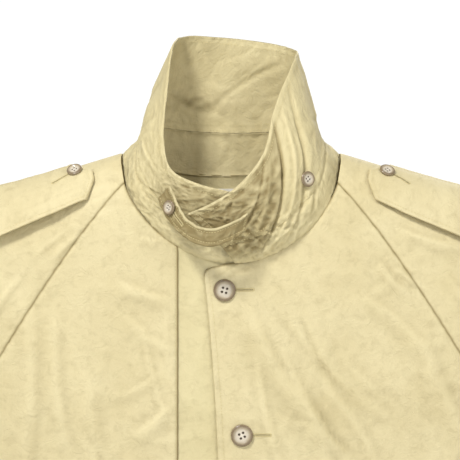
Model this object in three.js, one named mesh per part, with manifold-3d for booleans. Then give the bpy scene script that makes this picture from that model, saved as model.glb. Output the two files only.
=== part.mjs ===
// Raglan overcoat with a stand-up collar, throat tab and shoulder straps, hanging upright.
// Millimetres, +Z up, front towards -Y, +X towards the wearer's left.
// The origin is the hanger loop, at the middle of the back neck seam.
import * as THREE from 'three';
import { mergeVertices } from 'three/addons/utils/BufferGeometryUtils.js';
import Module from 'manifold-3d';

const wasm = await Module();
wasm.setup();

// Driving dimensions
const NECK_HALF_WIDTH = 113; // half the neck seam's width
const NECK_DROP = 90; // front neck seam below the back neck seam
const NECK_RISE = 22; // shoulder neck point above the back neck seam
const SHOULDER = [285, -30]; // where the shoulder line starts to turn down
const SHOULDER_ROUND = 22; // how far the shoulder bulges beyond the straight line
const ARMPIT = [295, -290];
const HEM_HALF_WIDTH = 330;
const LENGTH = 980; // back neck seam to hem
const UNDERARM_LENGTH = 430; // armpit to cuff
const SLEEVE_ANGLE = 65; // degrees below horizontal
const UPPER_ARM_WIDTH = 205;
const CUFF_WIDTH = 160;
const ELBOW_SHARE = 0.3; // elbow's place along the underarm
const HALF_DEPTH = 46; // half the coat's depth, front to back
const EDGE_ROUND = 70; // width of the rounded stretch along the outline
const CLOTH = 1.4; // one sewn thickness of cloth
const LAYER_GAP = 0.5; // between cloth layers that lie on each other
const SEAM_GAP = 0.8; // between neighbouring panels
const COLLAR_HEIGHT = 143; // centre back, seam to outer edge
const COLLAR_CLOTH = 2;
const FRONT_BUTTON = 22.6; // diameter
const SMALL_BUTTON = 16;
const BUTTON_SPACING = 147;
const BUTTON_COUNT = 5;
const FIRST_BUTTON_Z = -118;
const HOLE_CLEARANCE = 1.6; // radial, lets a stiff flap pass over its button
const SKIRT_SPLIT_Z = -520; // the left front swings open below this
const FRONT_EDGE_X = -27; // left front edge at its top corner
const SLIT_X = -54; // right front's free edge
const STAND_INNER_X = 48; // button stand's hidden edge
const STAND_UNDERLAP = 26; // button stand's width under the right front
const STRAP_REACH = 290; // outer end of a shoulder strap
const TAB_WIDTH = 17;
const TAB_FLARE = 4; // extra width round its buttonhole
const TAB_THICK = 2.1;
const TAB_BUTTON_SHARE = 0.87;
const THROAT_BUTTON = 15;

const rad = THREE.MathUtils.degToRad;
const lerp = THREE.MathUtils.lerp;
const mix = (a, b, t) => a.map((value, i) => lerp(value, b[i], t));

const coat = new THREE.Group();

const cloth = (color) => new THREE.MeshStandardMaterial({ color, roughness: 0.8, metalness: 0 });
const shellCloth = cloth(0xe8dbac);
const collarCloth = cloth(0xded09c);
const innerCloth = cloth(0xdccf9f);
const labelCloth = cloth(0xf0eee6);
const pearl = new THREE.MeshStandardMaterial({ color: 0xb9ab98, roughness: 0.25, metalness: 0 });

function addMesh(name, geometry, material) {
  const mesh = new THREE.Mesh(geometry, material);
  mesh.name = name;
  coat.add(mesh);
  return mesh;
}

// ---- plane curves, as functions of a share from 0 to 1 returning [x, z]

const sample = (curve, steps) => Array.from({ length: steps + 1 }, (_, i) => curve(i / steps));

function alongPoints(points) {
  const lengths = [0];
  for (let i = 1; i < points.length; i += 1) {
    const step = Math.hypot(points[i][0] - points[i - 1][0], points[i][1] - points[i - 1][1]);
    lengths.push(lengths[i - 1] + step);
  }
  const total = lengths[lengths.length - 1];
  return (t) => {
    const at = THREE.MathUtils.clamp(t, 0, 1) * total;
    let i = 1;
    while (i < points.length - 1 && lengths[i] < at) {
      i += 1;
    }
    const span = lengths[i] - lengths[i - 1] || 1;
    return mix(points[i - 1], points[i], (at - lengths[i - 1]) / span);
  };
}

function spline(points, steps = 24) {
  const curve = new THREE.CatmullRomCurve3(
    points.map(([x, z]) => new THREE.Vector3(x, 0, z)),
    false,
    'centripetal',
  );
  return curve.getPoints(steps).map((p) => [p.x, p.z]);
}

function bezier(a, control, b, steps = 12) {
  return sample((t) => mix(mix(a, control, t), mix(control, b, t), t), steps);
}

// ---- the coat's outline and the two surfaces that it carries

const sleeveDown = [Math.cos(rad(SLEEVE_ANGLE)), -Math.sin(rad(SLEEVE_ANGLE))];
const sleeveOut = [-sleeveDown[1], sleeveDown[0]];
const step = (from, direction, length) => [
  from[0] + direction[0] * length,
  from[1] + direction[1] * length,
];
const CUFF_IN = step(ARMPIT, sleeveDown, UNDERARM_LENGTH);
const CUFF_OUT = step(CUFF_IN, sleeveOut, CUFF_WIDTH);
const BICEP = step(ARMPIT, sleeveOut, UPPER_ARM_WIDTH);
const NECK_POINT = [NECK_HALF_WIDTH, NECK_RISE];
const shoulderLine = [BICEP[0] - SHOULDER[0], BICEP[1] - SHOULDER[1]];
const shoulderSpan = Math.hypot(...shoulderLine);
const SHOULDER_MID = step(
  mix(SHOULDER, BICEP, 0.5),
  [-shoulderLine[1] / shoulderSpan, shoulderLine[0] / shoulderSpan],
  SHOULDER_ROUND,
);
const ridge = spline([NECK_POINT, mix(NECK_POINT, SHOULDER, 0.5), SHOULDER, SHOULDER_MID, BICEP]);
const HEM = [HEM_HALF_WIDTH, -LENGTH];

// The two open ends run on past the cuff and hem, so the surfaces stay open there.
const OPEN_END = 200;
const NECK_FILL = [[0, NECK_RISE + 70], [NECK_HALF_WIDTH * 0.55, NECK_RISE + 50]];
const upperOutline = [...NECK_FILL, ...ridge, CUFF_OUT, step(CUFF_OUT, sleeveDown, OPEN_END)];
const lowerOutline = [
  step(CUFF_IN, sleeveDown, OPEN_END),
  CUFF_IN,
  ARMPIT,
  HEM,
  [HEM_HALF_WIDTH, -LENGTH - OPEN_END],
];

function toSegment(x, z, a, b) {
  const [dx, dz] = [b[0] - a[0], b[1] - a[1]];
  const t = THREE.MathUtils.clamp(((x - a[0]) * dx + (z - a[1]) * dz) / (dx * dx + dz * dz), 0, 1);
  return Math.hypot(x - a[0] - t * dx, z - a[1] - t * dz);
}

function toOutline(x, z) {
  let least = Infinity;
  for (const line of [upperOutline, lowerOutline]) {
    for (let i = 1; i < line.length; i += 1) {
      least = Math.min(least, toSegment(Math.abs(x), z, line[i - 1], line[i]));
    }
  }
  return least;
}

const MIN_EDGE = 0.02;

function depthAt(x, z) {
  const t = THREE.MathUtils.clamp(1 - Math.max(toOutline(x, z), MIN_EDGE) / EDGE_ROUND, 0, 1);
  return HALF_DEPTH * Math.sqrt(1 - t * t);
}

// side is -1 for the front and +1 for the back; lift is how far the point stands off the cloth.
function onSurface(x, z, side, lift) {
  const h = 0.5;
  const slopeX = (depthAt(x + h, z) - depthAt(x - h, z)) / (2 * h);
  const slopeZ = (depthAt(x, z + h) - depthAt(x, z - h)) / (2 * h);
  const normal = new THREE.Vector3(-slopeX, side, -slopeZ).normalize();
  if (toOutline(x, z) < h) {
    const inward = new THREE.Vector3(slopeX, 0, slopeZ).normalize();
    normal.copy(inward.negate());
  }
  const point = new THREE.Vector3(x, side * (SEAM_GAP / 2 + depthAt(x, z)), z);
  return { point: point.addScaledVector(normal, lift), normal };
}

// ---- solids

function solid(positions, index) {
  let volume = 0;
  const v = (i) => new THREE.Vector3(...positions[i]);
  for (let i = 0; i < index.length; i += 3) {
    volume += v(index[i]).dot(v(index[i + 1]).cross(v(index[i + 2])));
  }
  if (volume < 0) {
    index.reverse();
  }
  const geometry = new THREE.BufferGeometry();
  geometry.setAttribute('position', new THREE.Float32BufferAttribute(positions.flat(), 3));
  geometry.setIndex(index);
  return geometry;
}

// A closed sheet between two grids of points with the same rows and columns.
function sheetBetween(outer, inner) {
  const rows = outer.length;
  const columns = outer[0].length;
  const positions = [...outer.flat(), ...inner.flat()].map((p) => [p.x, p.y, p.z]);
  const out = (r, c) => r * columns + c;
  const inn = (r, c) => rows * columns + r * columns + c;
  const index = [];
  const quad = (a, b, c, d) => index.push(a, b, c, a, c, d);
  for (let r = 0; r + 1 < rows; r += 1) {
    for (let c = 0; c + 1 < columns; c += 1) {
      quad(inn(r, c), inn(r + 1, c), inn(r + 1, c + 1), inn(r, c + 1));
      quad(out(r, c), out(r, c + 1), out(r + 1, c + 1), out(r + 1, c));
    }
  }
  for (let c = 0; c + 1 < columns; c += 1) {
    quad(out(0, c + 1), out(0, c), inn(0, c), inn(0, c + 1));
    quad(out(rows - 1, c), out(rows - 1, c + 1), inn(rows - 1, c + 1), inn(rows - 1, c));
  }
  for (let r = 0; r + 1 < rows; r += 1) {
    quad(out(r, 0), out(r + 1, 0), inn(r + 1, 0), inn(r, 0));
    quad(out(r + 1, columns - 1), out(r, columns - 1), inn(r, columns - 1), inn(r + 1, columns - 1));
  }
  return solid(positions, index);
}

const EASE = {
  none: (t) => t,
  end: (t) => 1 - (1 - t) ** 2,
  both: (t) => (1 - Math.cos(Math.PI * t)) / 2,
};

// A panel of cloth cut to four edges: top and bottom run across, from and to run down.
// mirror puts it on the wearer's right. lift may vary across, from 0 at `from` to 1 at `to`.
function panel({ top, bottom, from, to, side, nu, nv, ease = 'none', mirror = false, ...rest }) {
  const { lift = () => 0, thick = CLOTH, insetFrom = SEAM_GAP / 2, insetTo = 0 } = rest;
  const { insetTop = SEAM_GAP / 2, insetBottom = SEAM_GAP / 2 } = rest;
  const length = (curve) => {
    const points = sample(curve, 12);
    return points.slice(1).reduce((sum, p, i) => {
      return sum + Math.hypot(p[0] - points[i][0], p[1] - points[i][1]);
    }, 0);
  };
  const across = Math.min(length(top), length(bottom));
  const down = Math.min(length(from), length(to));
  const [p00, p10, p01, p11] = [top(0), top(1), bottom(0), bottom(1)];
  const flat = (u, v) => [0, 1].map((k) => {
    const ruled = lerp(top(u)[k], bottom(u)[k], v) + lerp(from(v)[k], to(v)[k], u);
    return ruled - lerp(lerp(p00[k], p10[k], u), lerp(p01[k], p11[k], u), v);
  });
  const outer = [];
  const inner = [];
  for (let j = 0; j <= nv; j += 1) {
    const v = lerp(insetTop / down, 1 - insetBottom / down, j / nv);
    outer.push([]);
    inner.push([]);
    for (let i = 0; i <= nu; i += 1) {
      const u = lerp(insetFrom / across, 1 - insetTo / across, EASE[ease](i / nu));
      const [x, z] = flat(u, v);
      const raise = lift(u, v);
      const top3 = onSurface(x, z, side, raise);
      outer[j].push(top3.point);
      inner[j].push(top3.point.clone().addScaledVector(top3.normal, -thick));
    }
  }
  if (mirror) {
    [...outer.flat(), ...inner.flat()].forEach((p) => p.setX(-p.x));
  }
  return sheetBetween(outer, inner);
}

function toManifold(geometry) {
  const bare = geometry.clone();
  bare.deleteAttribute('normal');
  bare.deleteAttribute('uv');
  const merged = mergeVertices(bare, 1e-4);
  return new wasm.Manifold(new wasm.Mesh({
    numProp: 3,
    vertProperties: new Float32Array(merged.attributes.position.array),
    triVerts: new Uint32Array(merged.index.array),
  }));
}

function fromManifold(body) {
  const { vertProperties, triVerts } = body.getMesh();
  const geometry = new THREE.BufferGeometry();
  geometry.setAttribute('position', new THREE.BufferAttribute(new Float32Array(vertProperties), 3));
  geometry.setIndex(new THREE.BufferAttribute(new Uint32Array(triVerts), 1));
  return geometry;
}

function cut(geometry, cutters) {
  return fromManifold(cutters.reduce((body, c) => body.subtract(toManifold(c)), toManifold(geometry)));
}

// ---- seams and edges, for the wearer's left side

const NECK_POWER = 1.8;

function frontNeckZ(x) {
  const share = Math.min(Math.abs(x) / NECK_HALF_WIDTH, 1);
  const height = NECK_DROP + 14;
  return 14 - height * (1 - share ** NECK_POWER) ** (1 / NECK_POWER);
}

const backNeckZ = (x) => NECK_RISE * (Math.abs(x) / NECK_HALF_WIDTH) ** 2.2;
const frontNeck = (x0, x1, n = 12) => sample((t) => [lerp(x0, x1, t), frontNeckZ(lerp(x0, x1, t))], n);
const backNeck = (x0, x1) => sample((t) => [lerp(x0, x1, t), backNeckZ(lerp(x0, x1, t))], 10);

const FRONT_RAGLAN_X = NECK_HALF_WIDTH - 4;
const BACK_RAGLAN_X = NECK_HALF_WIDTH - 38;
const frontRaglanTop = [FRONT_RAGLAN_X, frontNeckZ(FRONT_RAGLAN_X)];
const backRaglanTop = [BACK_RAGLAN_X, backNeckZ(BACK_RAGLAN_X)];
const raglanBend = (top) => [lerp(top[0], ARMPIT[0], 0.42), lerp(top[1], ARMPIT[1], 0.31)];
const frontRaglan = bezier(frontRaglanTop, raglanBend(frontRaglanTop), ARMPIT);
const backRaglan = bezier(backRaglanTop, raglanBend(backRaglanTop), ARMPIT);

const sideX = (z) => lerp(ARMPIT[0], HEM[0], (z - ARMPIT[1]) / (HEM[1] - ARMPIT[1]));
const sideAt = (z) => [sideX(z), z];
const frontEdgeX = (z) => FRONT_EDGE_X + 22 * (1 - Math.exp((z - EDGE_TOP_Z) / 180));
const buttonX = (z) => FRONT_EDGE_X + 20.5 + 26 * (1 - Math.exp((z - FIRST_BUTTON_Z) / 130));
const EDGE_TOP_Z = -102;
const COLLAR_END_X = 6; // the left collar starts here; the front runs on past it
const HEM_Z = -LENGTH;

// ---- front panels

const line = (a, b) => (t) => mix(a, b, t);
const leftTaper = (u) => CLOTH + LAYER_GAP - (CLOTH + LAYER_GAP) * THREE.MathUtils.smoothstep(u, 0.35, 0.9);

const buttonPlaces = Array.from({ length: BUTTON_COUNT }, (_, i) => {
  const z = FIRST_BUTTON_Z - i * BUTTON_SPACING;
  return { name: `front_button_${i + 1}`, x: buttonX(z), z };
});

// A cylinder through the cloth at x, z, standing along the cloth's own normal.
function through(x, z, side, radius, reach = 12) {
  const { point, normal } = onSurface(x, z, side, 0);
  const cylinder = new THREE.CylinderGeometry(radius, radius, 2 * reach, 12);
  const turn = new THREE.Quaternion().setFromUnitVectors(new THREE.Vector3(0, 1, 0), normal);
  cylinder.applyQuaternion(turn);
  cylinder.translate(point.x, point.y, point.z);
  return cylinder;
}

const frontHoles = (low, high) => buttonPlaces
  .filter(({ z }) => z > low && z < high)
  .map(({ x, z }) => through(x, z, -1, FRONT_BUTTON / 2 + HOLE_CLEARANCE));

const frontEdge = (z0, z1, dx = 0) => sample((t) => [frontEdgeX(lerp(z0, z1, t)) + dx, lerp(z0, z1, t)], 16);

addMesh('left_front', cut(panel({
  top: alongPoints([
    [FRONT_EDGE_X, EDGE_TOP_Z],
    [FRONT_EDGE_X + 4, EDGE_TOP_Z + 4.5],
    [FRONT_EDGE_X + 11, EDGE_TOP_Z + 6.5],
    ...frontNeck(COLLAR_END_X, FRONT_RAGLAN_X),
  ]),
  bottom: line([frontEdgeX(SKIRT_SPLIT_Z), SKIRT_SPLIT_Z], sideAt(SKIRT_SPLIT_Z)),
  from: alongPoints(frontEdge(EDGE_TOP_Z, SKIRT_SPLIT_Z)),
  to: alongPoints([...frontRaglan, sideAt(SKIRT_SPLIT_Z)]),
  side: -1,
  nu: 9,
  nv: 8,
  ease: 'end',
  lift: leftTaper,
}), frontHoles(SKIRT_SPLIT_Z, 0)), shellCloth);

const SKIRT_TOP = SKIRT_SPLIT_Z;
addMesh('left_front_skirt', cut(panel({
  top: line([frontEdgeX(SKIRT_TOP), SKIRT_TOP], sideAt(SKIRT_TOP)),
  bottom: line([frontEdgeX(HEM_Z), HEM_Z], HEM),
  from: alongPoints(frontEdge(SKIRT_TOP, HEM_Z)),
  to: line(sideAt(SKIRT_TOP), HEM),
  side: -1,
  nu: 9,
  nv: 5,
  ease: 'end',
  lift: leftTaper,
}), frontHoles(HEM_Z, SKIRT_TOP)), shellCloth);

const FACING_WIDTH = 70;
const FACING_INSET = 1.5;

function facing(name, z0, z1) {
  addMesh(name, cut(panel({
    top: line([frontEdgeX(z0) + FACING_INSET, z0], [frontEdgeX(z0) + FACING_WIDTH, z0]),
    bottom: line([frontEdgeX(z1) + FACING_INSET, z1], [frontEdgeX(z1) + FACING_WIDTH, z1]),
    from: alongPoints(frontEdge(z0, z1, FACING_INSET)),
    to: alongPoints(frontEdge(z0, z1, FACING_WIDTH)),
    side: -1,
    nu: 3,
    nv: 6,
  }), frontHoles(z1, z0)), innerCloth);
}
facing('left_facing', EDGE_TOP_Z - 8, SKIRT_TOP);
facing('left_facing_skirt', SKIRT_TOP, HEM_Z);

addMesh('right_front', panel({
  top: alongPoints(frontNeck(-SLIT_X, FRONT_RAGLAN_X)),
  bottom: line([-SLIT_X, HEM_Z], HEM),
  from: line([-SLIT_X, frontNeckZ(SLIT_X)], [-SLIT_X, HEM_Z]),
  to: alongPoints([...frontRaglan, HEM]),
  side: -1,
  nu: 8,
  nv: 11,
  ease: 'end',
  mirror: true,
}), shellCloth);

const STAND_LIFT = -CLOTH - LAYER_GAP;
addMesh('button_stand', panel({
  top: alongPoints(frontNeck(SLIT_X - STAND_UNDERLAP, STAND_INNER_X)),
  bottom: line([SLIT_X - STAND_UNDERLAP, HEM_Z], [STAND_INNER_X, HEM_Z]),
  from: line([SLIT_X - STAND_UNDERLAP, frontNeckZ(SLIT_X - STAND_UNDERLAP)], [SLIT_X - STAND_UNDERLAP, HEM_Z]),
  to: line([STAND_INNER_X, frontNeckZ(STAND_INNER_X)], [STAND_INNER_X, HEM_Z]),
  side: -1,
  nu: 5,
  nv: 8,
  lift: () => STAND_LIFT,
  insetTop: 1.5,
}), innerCloth);

// ---- back panels, with the seam down the middle

const BACK_NECK_GAP = 1; // back neck seam to the cloth's cut edge

for (const mirror of [false, true]) {
  addMesh(mirror ? 'right_back' : 'left_back', panel({
    top: alongPoints(backNeck(0, BACK_RAGLAN_X)),
    bottom: line([0, HEM_Z], HEM),
    from: line([0, 0], [0, HEM_Z]),
    to: alongPoints([...backRaglan, HEM]),
    side: 1,
    nu: 8,
    nv: 11,
    ease: 'end',
    insetTop: BACK_NECK_GAP,
    mirror,
  }), shellCloth);
}

// ---- sleeves: a front and a back panel each, split at the elbow

const LOWER_SEAM_GAP = 1.2; // underarm seam to the cloth's cut edge, below the elbow

const sleeveIn = (s) => mix(ARMPIT, CUFF_IN, s);
const sleeveOutline = (s) => mix(BICEP, CUFF_OUT, s);
const sleeveAt = (s, w) => mix(sleeveIn(s), sleeveOutline(s), w);

for (const mirror of [false, true]) {
  for (const side of [-1, 1]) {
    const name = `${mirror ? 'right' : 'left'}_sleeve_${side < 0 ? 'front' : 'back'}`;
    const raglan = side < 0 ? frontRaglan : backRaglan;
    const neck = side < 0
      ? [NECK_POINT, [NECK_HALF_WIDTH, 14], frontRaglanTop]
      : [...backNeck(NECK_HALF_WIDTH, BACK_RAGLAN_X)];
    addMesh(name, panel({
      top: alongPoints(neck),
      bottom: line(sleeveOutline(ELBOW_SHARE), sleeveIn(ELBOW_SHARE)),
      from: alongPoints([...ridge, sleeveOutline(ELBOW_SHARE)]),
      to: alongPoints([...raglan, sleeveIn(ELBOW_SHARE)]),
      side,
      nu: 8,
      nv: 9,
      ease: 'both',
      insetFrom: 0,
      insetTo: SEAM_GAP,
      mirror,
    }), shellCloth);
    addMesh(`${name}_lower`, panel({
      top: line(sleeveOutline(ELBOW_SHARE), sleeveIn(ELBOW_SHARE)),
      bottom: line(CUFF_OUT, CUFF_IN),
      from: line(sleeveOutline(ELBOW_SHARE), CUFF_OUT),
      to: line(sleeveIn(ELBOW_SHARE), CUFF_IN),
      side,
      nu: 9,
      nv: 4,
      ease: 'both',
      insetFrom: 0,
      insetTo: LOWER_SEAM_GAP,
      mirror,
    }), shellCloth);
  }
}

// ---- buttons

const BUTTON_THICK = 3;
const BUTTON_RIM = 0.7; // rim above the dish

// A four-hole button with its underside at height 0, facing +Y.
function button(diameter, shank) {
  const r = diameter / 2;
  const profile = [
    [0, -shank],
    [1.6, -shank],
    [1.6, 0],
    [r * 0.8, 0],
    [r, BUTTON_THICK * 0.45],
    [r * 0.9, BUTTON_THICK],
    [r * 0.62, BUTTON_THICK - BUTTON_RIM],
    [0, BUTTON_THICK - BUTTON_RIM],
  ].map(([x, y]) => new THREE.Vector2(x, y));
  const disc = new THREE.LatheGeometry(profile, 14);
  const holes = [0, 1, 2, 3].map((k) => {
    const angle = Math.PI / 4 + k * Math.PI / 2;
    const hole = new THREE.CylinderGeometry(diameter * 0.045, diameter * 0.045, 1.6, 4);
    hole.translate(Math.cos(angle) * r * 0.26, BUTTON_THICK - BUTTON_RIM, Math.sin(angle) * r * 0.26);
    return hole;
  });
  return cut(disc, holes);
}

function placeButton(name, diameter, shank, point, normal, lift) {
  const mesh = addMesh(name, button(diameter, shank), pearl);
  mesh.quaternion.setFromUnitVectors(new THREE.Vector3(0, 1, 0), normal);
  mesh.position.copy(point).addScaledVector(normal, lift);
  return mesh;
}

const FRONT_LIFT = CLOTH + 2 * LAYER_GAP;
for (const { name, x, z } of buttonPlaces) {
  const { point, normal } = onSurface(x, z, -1, 0);
  placeButton(name, FRONT_BUTTON, FRONT_LIFT - STAND_LIFT - LAYER_GAP, point, normal, FRONT_LIFT);
}

// ---- shoulder straps, pointed towards the neck, sewn down at the outer end

const STRAP_LIFT = 4.2;
const STRAP_GAPE = 4; // how much further its outer part stands off the shoulder
const STRAP_THICK = 2.2;
const STRAP_BUTTON = [158, -1];
const ridgeZ = (x) => {
  const i = Math.max(1, ridge.findIndex((p) => p[0] >= x));
  return lerp(ridge[i - 1][1], ridge[i][1], (x - ridge[i - 1][0]) / (ridge[i][0] - ridge[i - 1][0]));
};
const STRAP_TIP_X = NECK_HALF_WIDTH + 26;
const strapTop = sample((t) => {
  const x = lerp(STRAP_TIP_X + 24, STRAP_REACH, t);
  return [x, ridgeZ(x) - 0.6];
}, 8);
const strapLow = [
  [STRAP_TIP_X + 7, -27],
  [STRAP_TIP_X + 36, -41],
  [STRAP_TIP_X + 92, -64],
  [STRAP_REACH - 2, -90],
];

for (const mirror of [false, true]) {
  const name = mirror ? 'right' : 'left';
  const strap = panel({
    top: alongPoints([strapTop[0], [STRAP_TIP_X + 2, 2], [STRAP_TIP_X, -8], strapLow[0]]),
    bottom: line(strapTop[strapTop.length - 1], strapLow[3]),
    from: alongPoints(strapTop),
    to: alongPoints(strapLow),
    side: -1,
    nu: 7,
    nv: 8,
    lift: (u, v) => STRAP_LIFT + STRAP_GAPE * u * Math.sin(Math.PI * v),
    thick: STRAP_THICK,
    insetFrom: 0,
    mirror,
  });
  const hole = through(STRAP_BUTTON[0], STRAP_BUTTON[1], -1, SMALL_BUTTON / 2 + HOLE_CLEARANCE, 16);
  if (mirror) {
    hole.scale(-1, 1, 1);
    hole.setIndex([...hole.index.array].reverse());
  }
  addMesh(`${name}_shoulder_strap`, cut(strap, [hole]), shellCloth);
  const { point, normal } = onSurface(STRAP_BUTTON[0], STRAP_BUTTON[1], -1, 0);
  if (mirror) {
    point.x *= -1;
    normal.x *= -1;
  }
  const lift = STRAP_LIFT + LAYER_GAP + 0.6;
  placeButton(`${name}_strap_button`, SMALL_BUTTON, lift - LAYER_GAP, point, normal, lift);
}

// ---- cuff tabs with their buttons

const TAB_SHARE = [0.74, 0.84];
const CUFF_TAB_LIFT = 2.6;
for (const mirror of [false, true]) {
  const name = mirror ? 'right' : 'left';
  const [s0, s1] = TAB_SHARE;
  const [w0, w1] = [0.2, 0.72];
  const middle = (s0 + s1) / 2;
  const tab = panel({
    top: line(sleeveAt(s0, w0), sleeveAt(s0, w1)),
    bottom: line(sleeveAt(s1, w0), sleeveAt(s1, w1)),
    from: line(sleeveAt(s0, w0), sleeveAt(s1, w0)),
    to: alongPoints([sleeveAt(s0, w1), sleeveAt(middle, w1 + 0.07), sleeveAt(s1, w1)]),
    side: -1,
    nu: 6,
    nv: 4,
    lift: () => CUFF_TAB_LIFT,
    mirror,
  });
  const [x, z] = sleeveAt(middle, w1 - 0.06);
  const hole = through(x, z, -1, SMALL_BUTTON / 2 + HOLE_CLEARANCE);
  if (mirror) {
    hole.scale(-1, 1, 1);
    hole.setIndex([...hole.index.array].reverse());
  }
  addMesh(`${name}_cuff_tab`, cut(tab, [hole]), shellCloth);
  const { point, normal } = onSurface(x, z, -1, 0);
  if (mirror) {
    point.x *= -1;
    normal.x *= -1;
  }
  const lift = CUFF_TAB_LIFT + LAYER_GAP;
  placeButton(`${name}_cuff_button`, SMALL_BUTTON, lift - LAYER_GAP, point, normal, lift);
}

// ---- slanted pocket welts outside, pocket bags inside

const POCKET_IN = 178; // pocket's inner edge to the hem's corner
const POCKET_RISE = 420; // pocket's upper end above the hem
const WELT_TOP = [HEM_HALF_WIDTH - POCKET_IN, POCKET_RISE - LENGTH];
const WELT_SIZE = [44, 168];
const WELT_SLANT = 15; // degrees from upright
const BAG_GAP = 3; // between the front and the bag behind it
const weltDown = [Math.sin(rad(WELT_SLANT)), -Math.cos(rad(WELT_SLANT))];
const weltAcross = [-weltDown[1], weltDown[0]];

for (const mirror of [false, true]) {
  const name = mirror ? 'right' : 'left';
  const corner = (across, down) => step(step(WELT_TOP, weltAcross, across), weltDown, down);
  const base = mirror ? 0 : CLOTH + LAYER_GAP;
  const rectangle = (a0, a1, d0, d1) => ({
    top: line(corner(a0, d0), corner(a1, d0)),
    bottom: line(corner(a0, d1), corner(a1, d1)),
    from: line(corner(a0, d0), corner(a0, d1)),
    to: line(corner(a1, d0), corner(a1, d1)),
    side: -1,
    mirror,
  });
  addMesh(`${name}_pocket_welt`, panel({
    ...rectangle(0, WELT_SIZE[0], 0, WELT_SIZE[1]),
    nu: 3,
    nv: 4,
    lift: () => base + CLOTH + LAYER_GAP,
  }), shellCloth);
  addMesh(`${name}_pocket_bag`, panel({
    ...rectangle(-24, 112, 8, 220),
    nu: 6,
    nv: 6,
    lift: () => -CLOTH - BAG_GAP,
  }), innerCloth);
}

// ---- back neck facing, label and hanger loop, inside the back

const FACING_DROP = 62;
addMesh('back_neck_facing', panel({
  top: alongPoints(backNeck(-BACK_RAGLAN_X + 8, BACK_RAGLAN_X - 8)),
  bottom: (t) => [lerp(-60, 60, t), -FACING_DROP - 14 * Math.sin(Math.PI * t)],
  from: line([-BACK_RAGLAN_X + 8, backNeckZ(BACK_RAGLAN_X - 8)], [-60, -FACING_DROP]),
  to: line([BACK_RAGLAN_X - 8, backNeckZ(BACK_RAGLAN_X - 8)], [60, -FACING_DROP]),
  side: 1,
  nu: 8,
  nv: 3,
  insetTop: 2,
  lift: () => -CLOTH - LAYER_GAP,
}), innerCloth);

const LABEL = { width: 46, top: -14, bottom: -44 };
addMesh('label', panel({
  top: line([-LABEL.width / 2, LABEL.top], [LABEL.width / 2, LABEL.top]),
  bottom: line([-LABEL.width / 2, LABEL.bottom], [LABEL.width / 2, LABEL.bottom]),
  from: line([-LABEL.width / 2, LABEL.top], [-LABEL.width / 2, LABEL.bottom]),
  to: line([LABEL.width / 2, LABEL.top], [LABEL.width / 2, LABEL.bottom]),
  side: 1,
  nu: 2,
  nv: 2,
  thick: 0.6,
  lift: () => -2 * (CLOTH + LAYER_GAP),
}), labelCloth);

const LOOP = { half: 32, rise: 7, width: 5, thick: 1.2 };
const loopPath = new THREE.CatmullRomCurve3([
  new THREE.Vector3(-LOOP.half, HALF_DEPTH - 5, -4),
  new THREE.Vector3(-LOOP.half * 0.6, HALF_DEPTH - 8, 1),
  new THREE.Vector3(0, HALF_DEPTH - 10, LOOP.rise),
  new THREE.Vector3(LOOP.half * 0.6, HALF_DEPTH - 8, 1),
  new THREE.Vector3(LOOP.half, HALF_DEPTH - 5, -4),
]);
const loopSection = new THREE.Shape([
  new THREE.Vector2(-LOOP.thick / 2, -LOOP.width / 2),
  new THREE.Vector2(LOOP.thick / 2, -LOOP.width / 2),
  new THREE.Vector2(LOOP.thick / 2, LOOP.width / 2),
  new THREE.Vector2(-LOOP.thick / 2, LOOP.width / 2),
]);
addMesh('hanger_loop', new THREE.ExtrudeGeometry(loopSection, {
  steps: 12,
  bevelEnabled: false,
  extrudePath: loopPath,
}), innerCloth);

// ---- collar: a net of stations round the neck, each from the neck seam up to the outer edge.
// The wearer's right end lies inside, the wearer's left end laps over it in front.
// Stations are [x, y, z] in millimetres for the neck and collar sizes below, and scale with them.

const NET_NECK = 113;
const NET_HEIGHT = 133;
const NET_DEPTH = 46;
const collarNet = [
  [[22, -46, -83], [22, -56, -66], [22, -62, -44], [21, -64, -24]],
  [[-14, -46, -87], [-12, -58, -66], [-8, -64, -42], [-6, -66, -18]],
  [[-52, -45, -73], [-48, -57, -52], [-42, -64, -32], [-36, -66, -10]],
  [[-84, -43, -47], [-78, -52, -30], [-70, -58, -14], [-60, -60, 3]],
  [[-104, -36, -20], [-95, -43, -4], [-82, -46, 16], [-68, -52, 30]],
  [[-111, -18, 8], [-97, -23, 22], [-84, -28, 50], [-64, -42, 80]],
  [[-111, 2, 24], [-92, 4, 38], [-82, 4, 76], [-59, -10, 122]],
  [[-90, 30, 15], [-78, 33, 46], [-72, 33, 90], [-46, 28, 134]],
  [[-45, 43, 4], [-44, 46, 43], [-40, 48, 88], [-12, 42, 134]],
  [[0, 44, 2], [0, 48, 41], [2, 50, 88], [20, 42, 131]],
  [[45, 43, 4], [44, 46, 42], [44, 46, 88], [50, 36, 126]],
  [[90, 30, 15], [80, 32, 42], [76, 29, 80], [67, 18, 120]],
  [[111, 2, 24], [90, 2, 37], [83, -4, 66], [66, -12, 112]],
  [[111, -18, 8], [96, -27, 22], [82, -38, 46], [57, -35, 92]],
  [[101, -40, -26], [90, -50, -8], [72, -60, 22], [43, -60, 58]],
  [[78, -48, -55], [70, -62, -34], [54, -72, -6], [32, -72, 17]],
  [[50, -50, -75], [43, -66, -56], [28, -76, -30], [6, -78, -14]],
  [[26, -51, -85], [16, -68, -68], [-3, -77, -46], [-20, -79, -31]],
  [[5, -52, -88], [-8, -69, -75], [-26, -76, -56], [-43, -76, -41]],
];
const BASE_CLEARANCE = 1.4; // neck seam to the collar's lower edge
const COLLAR_ROWS = [0, 1, 2, 3];
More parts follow.
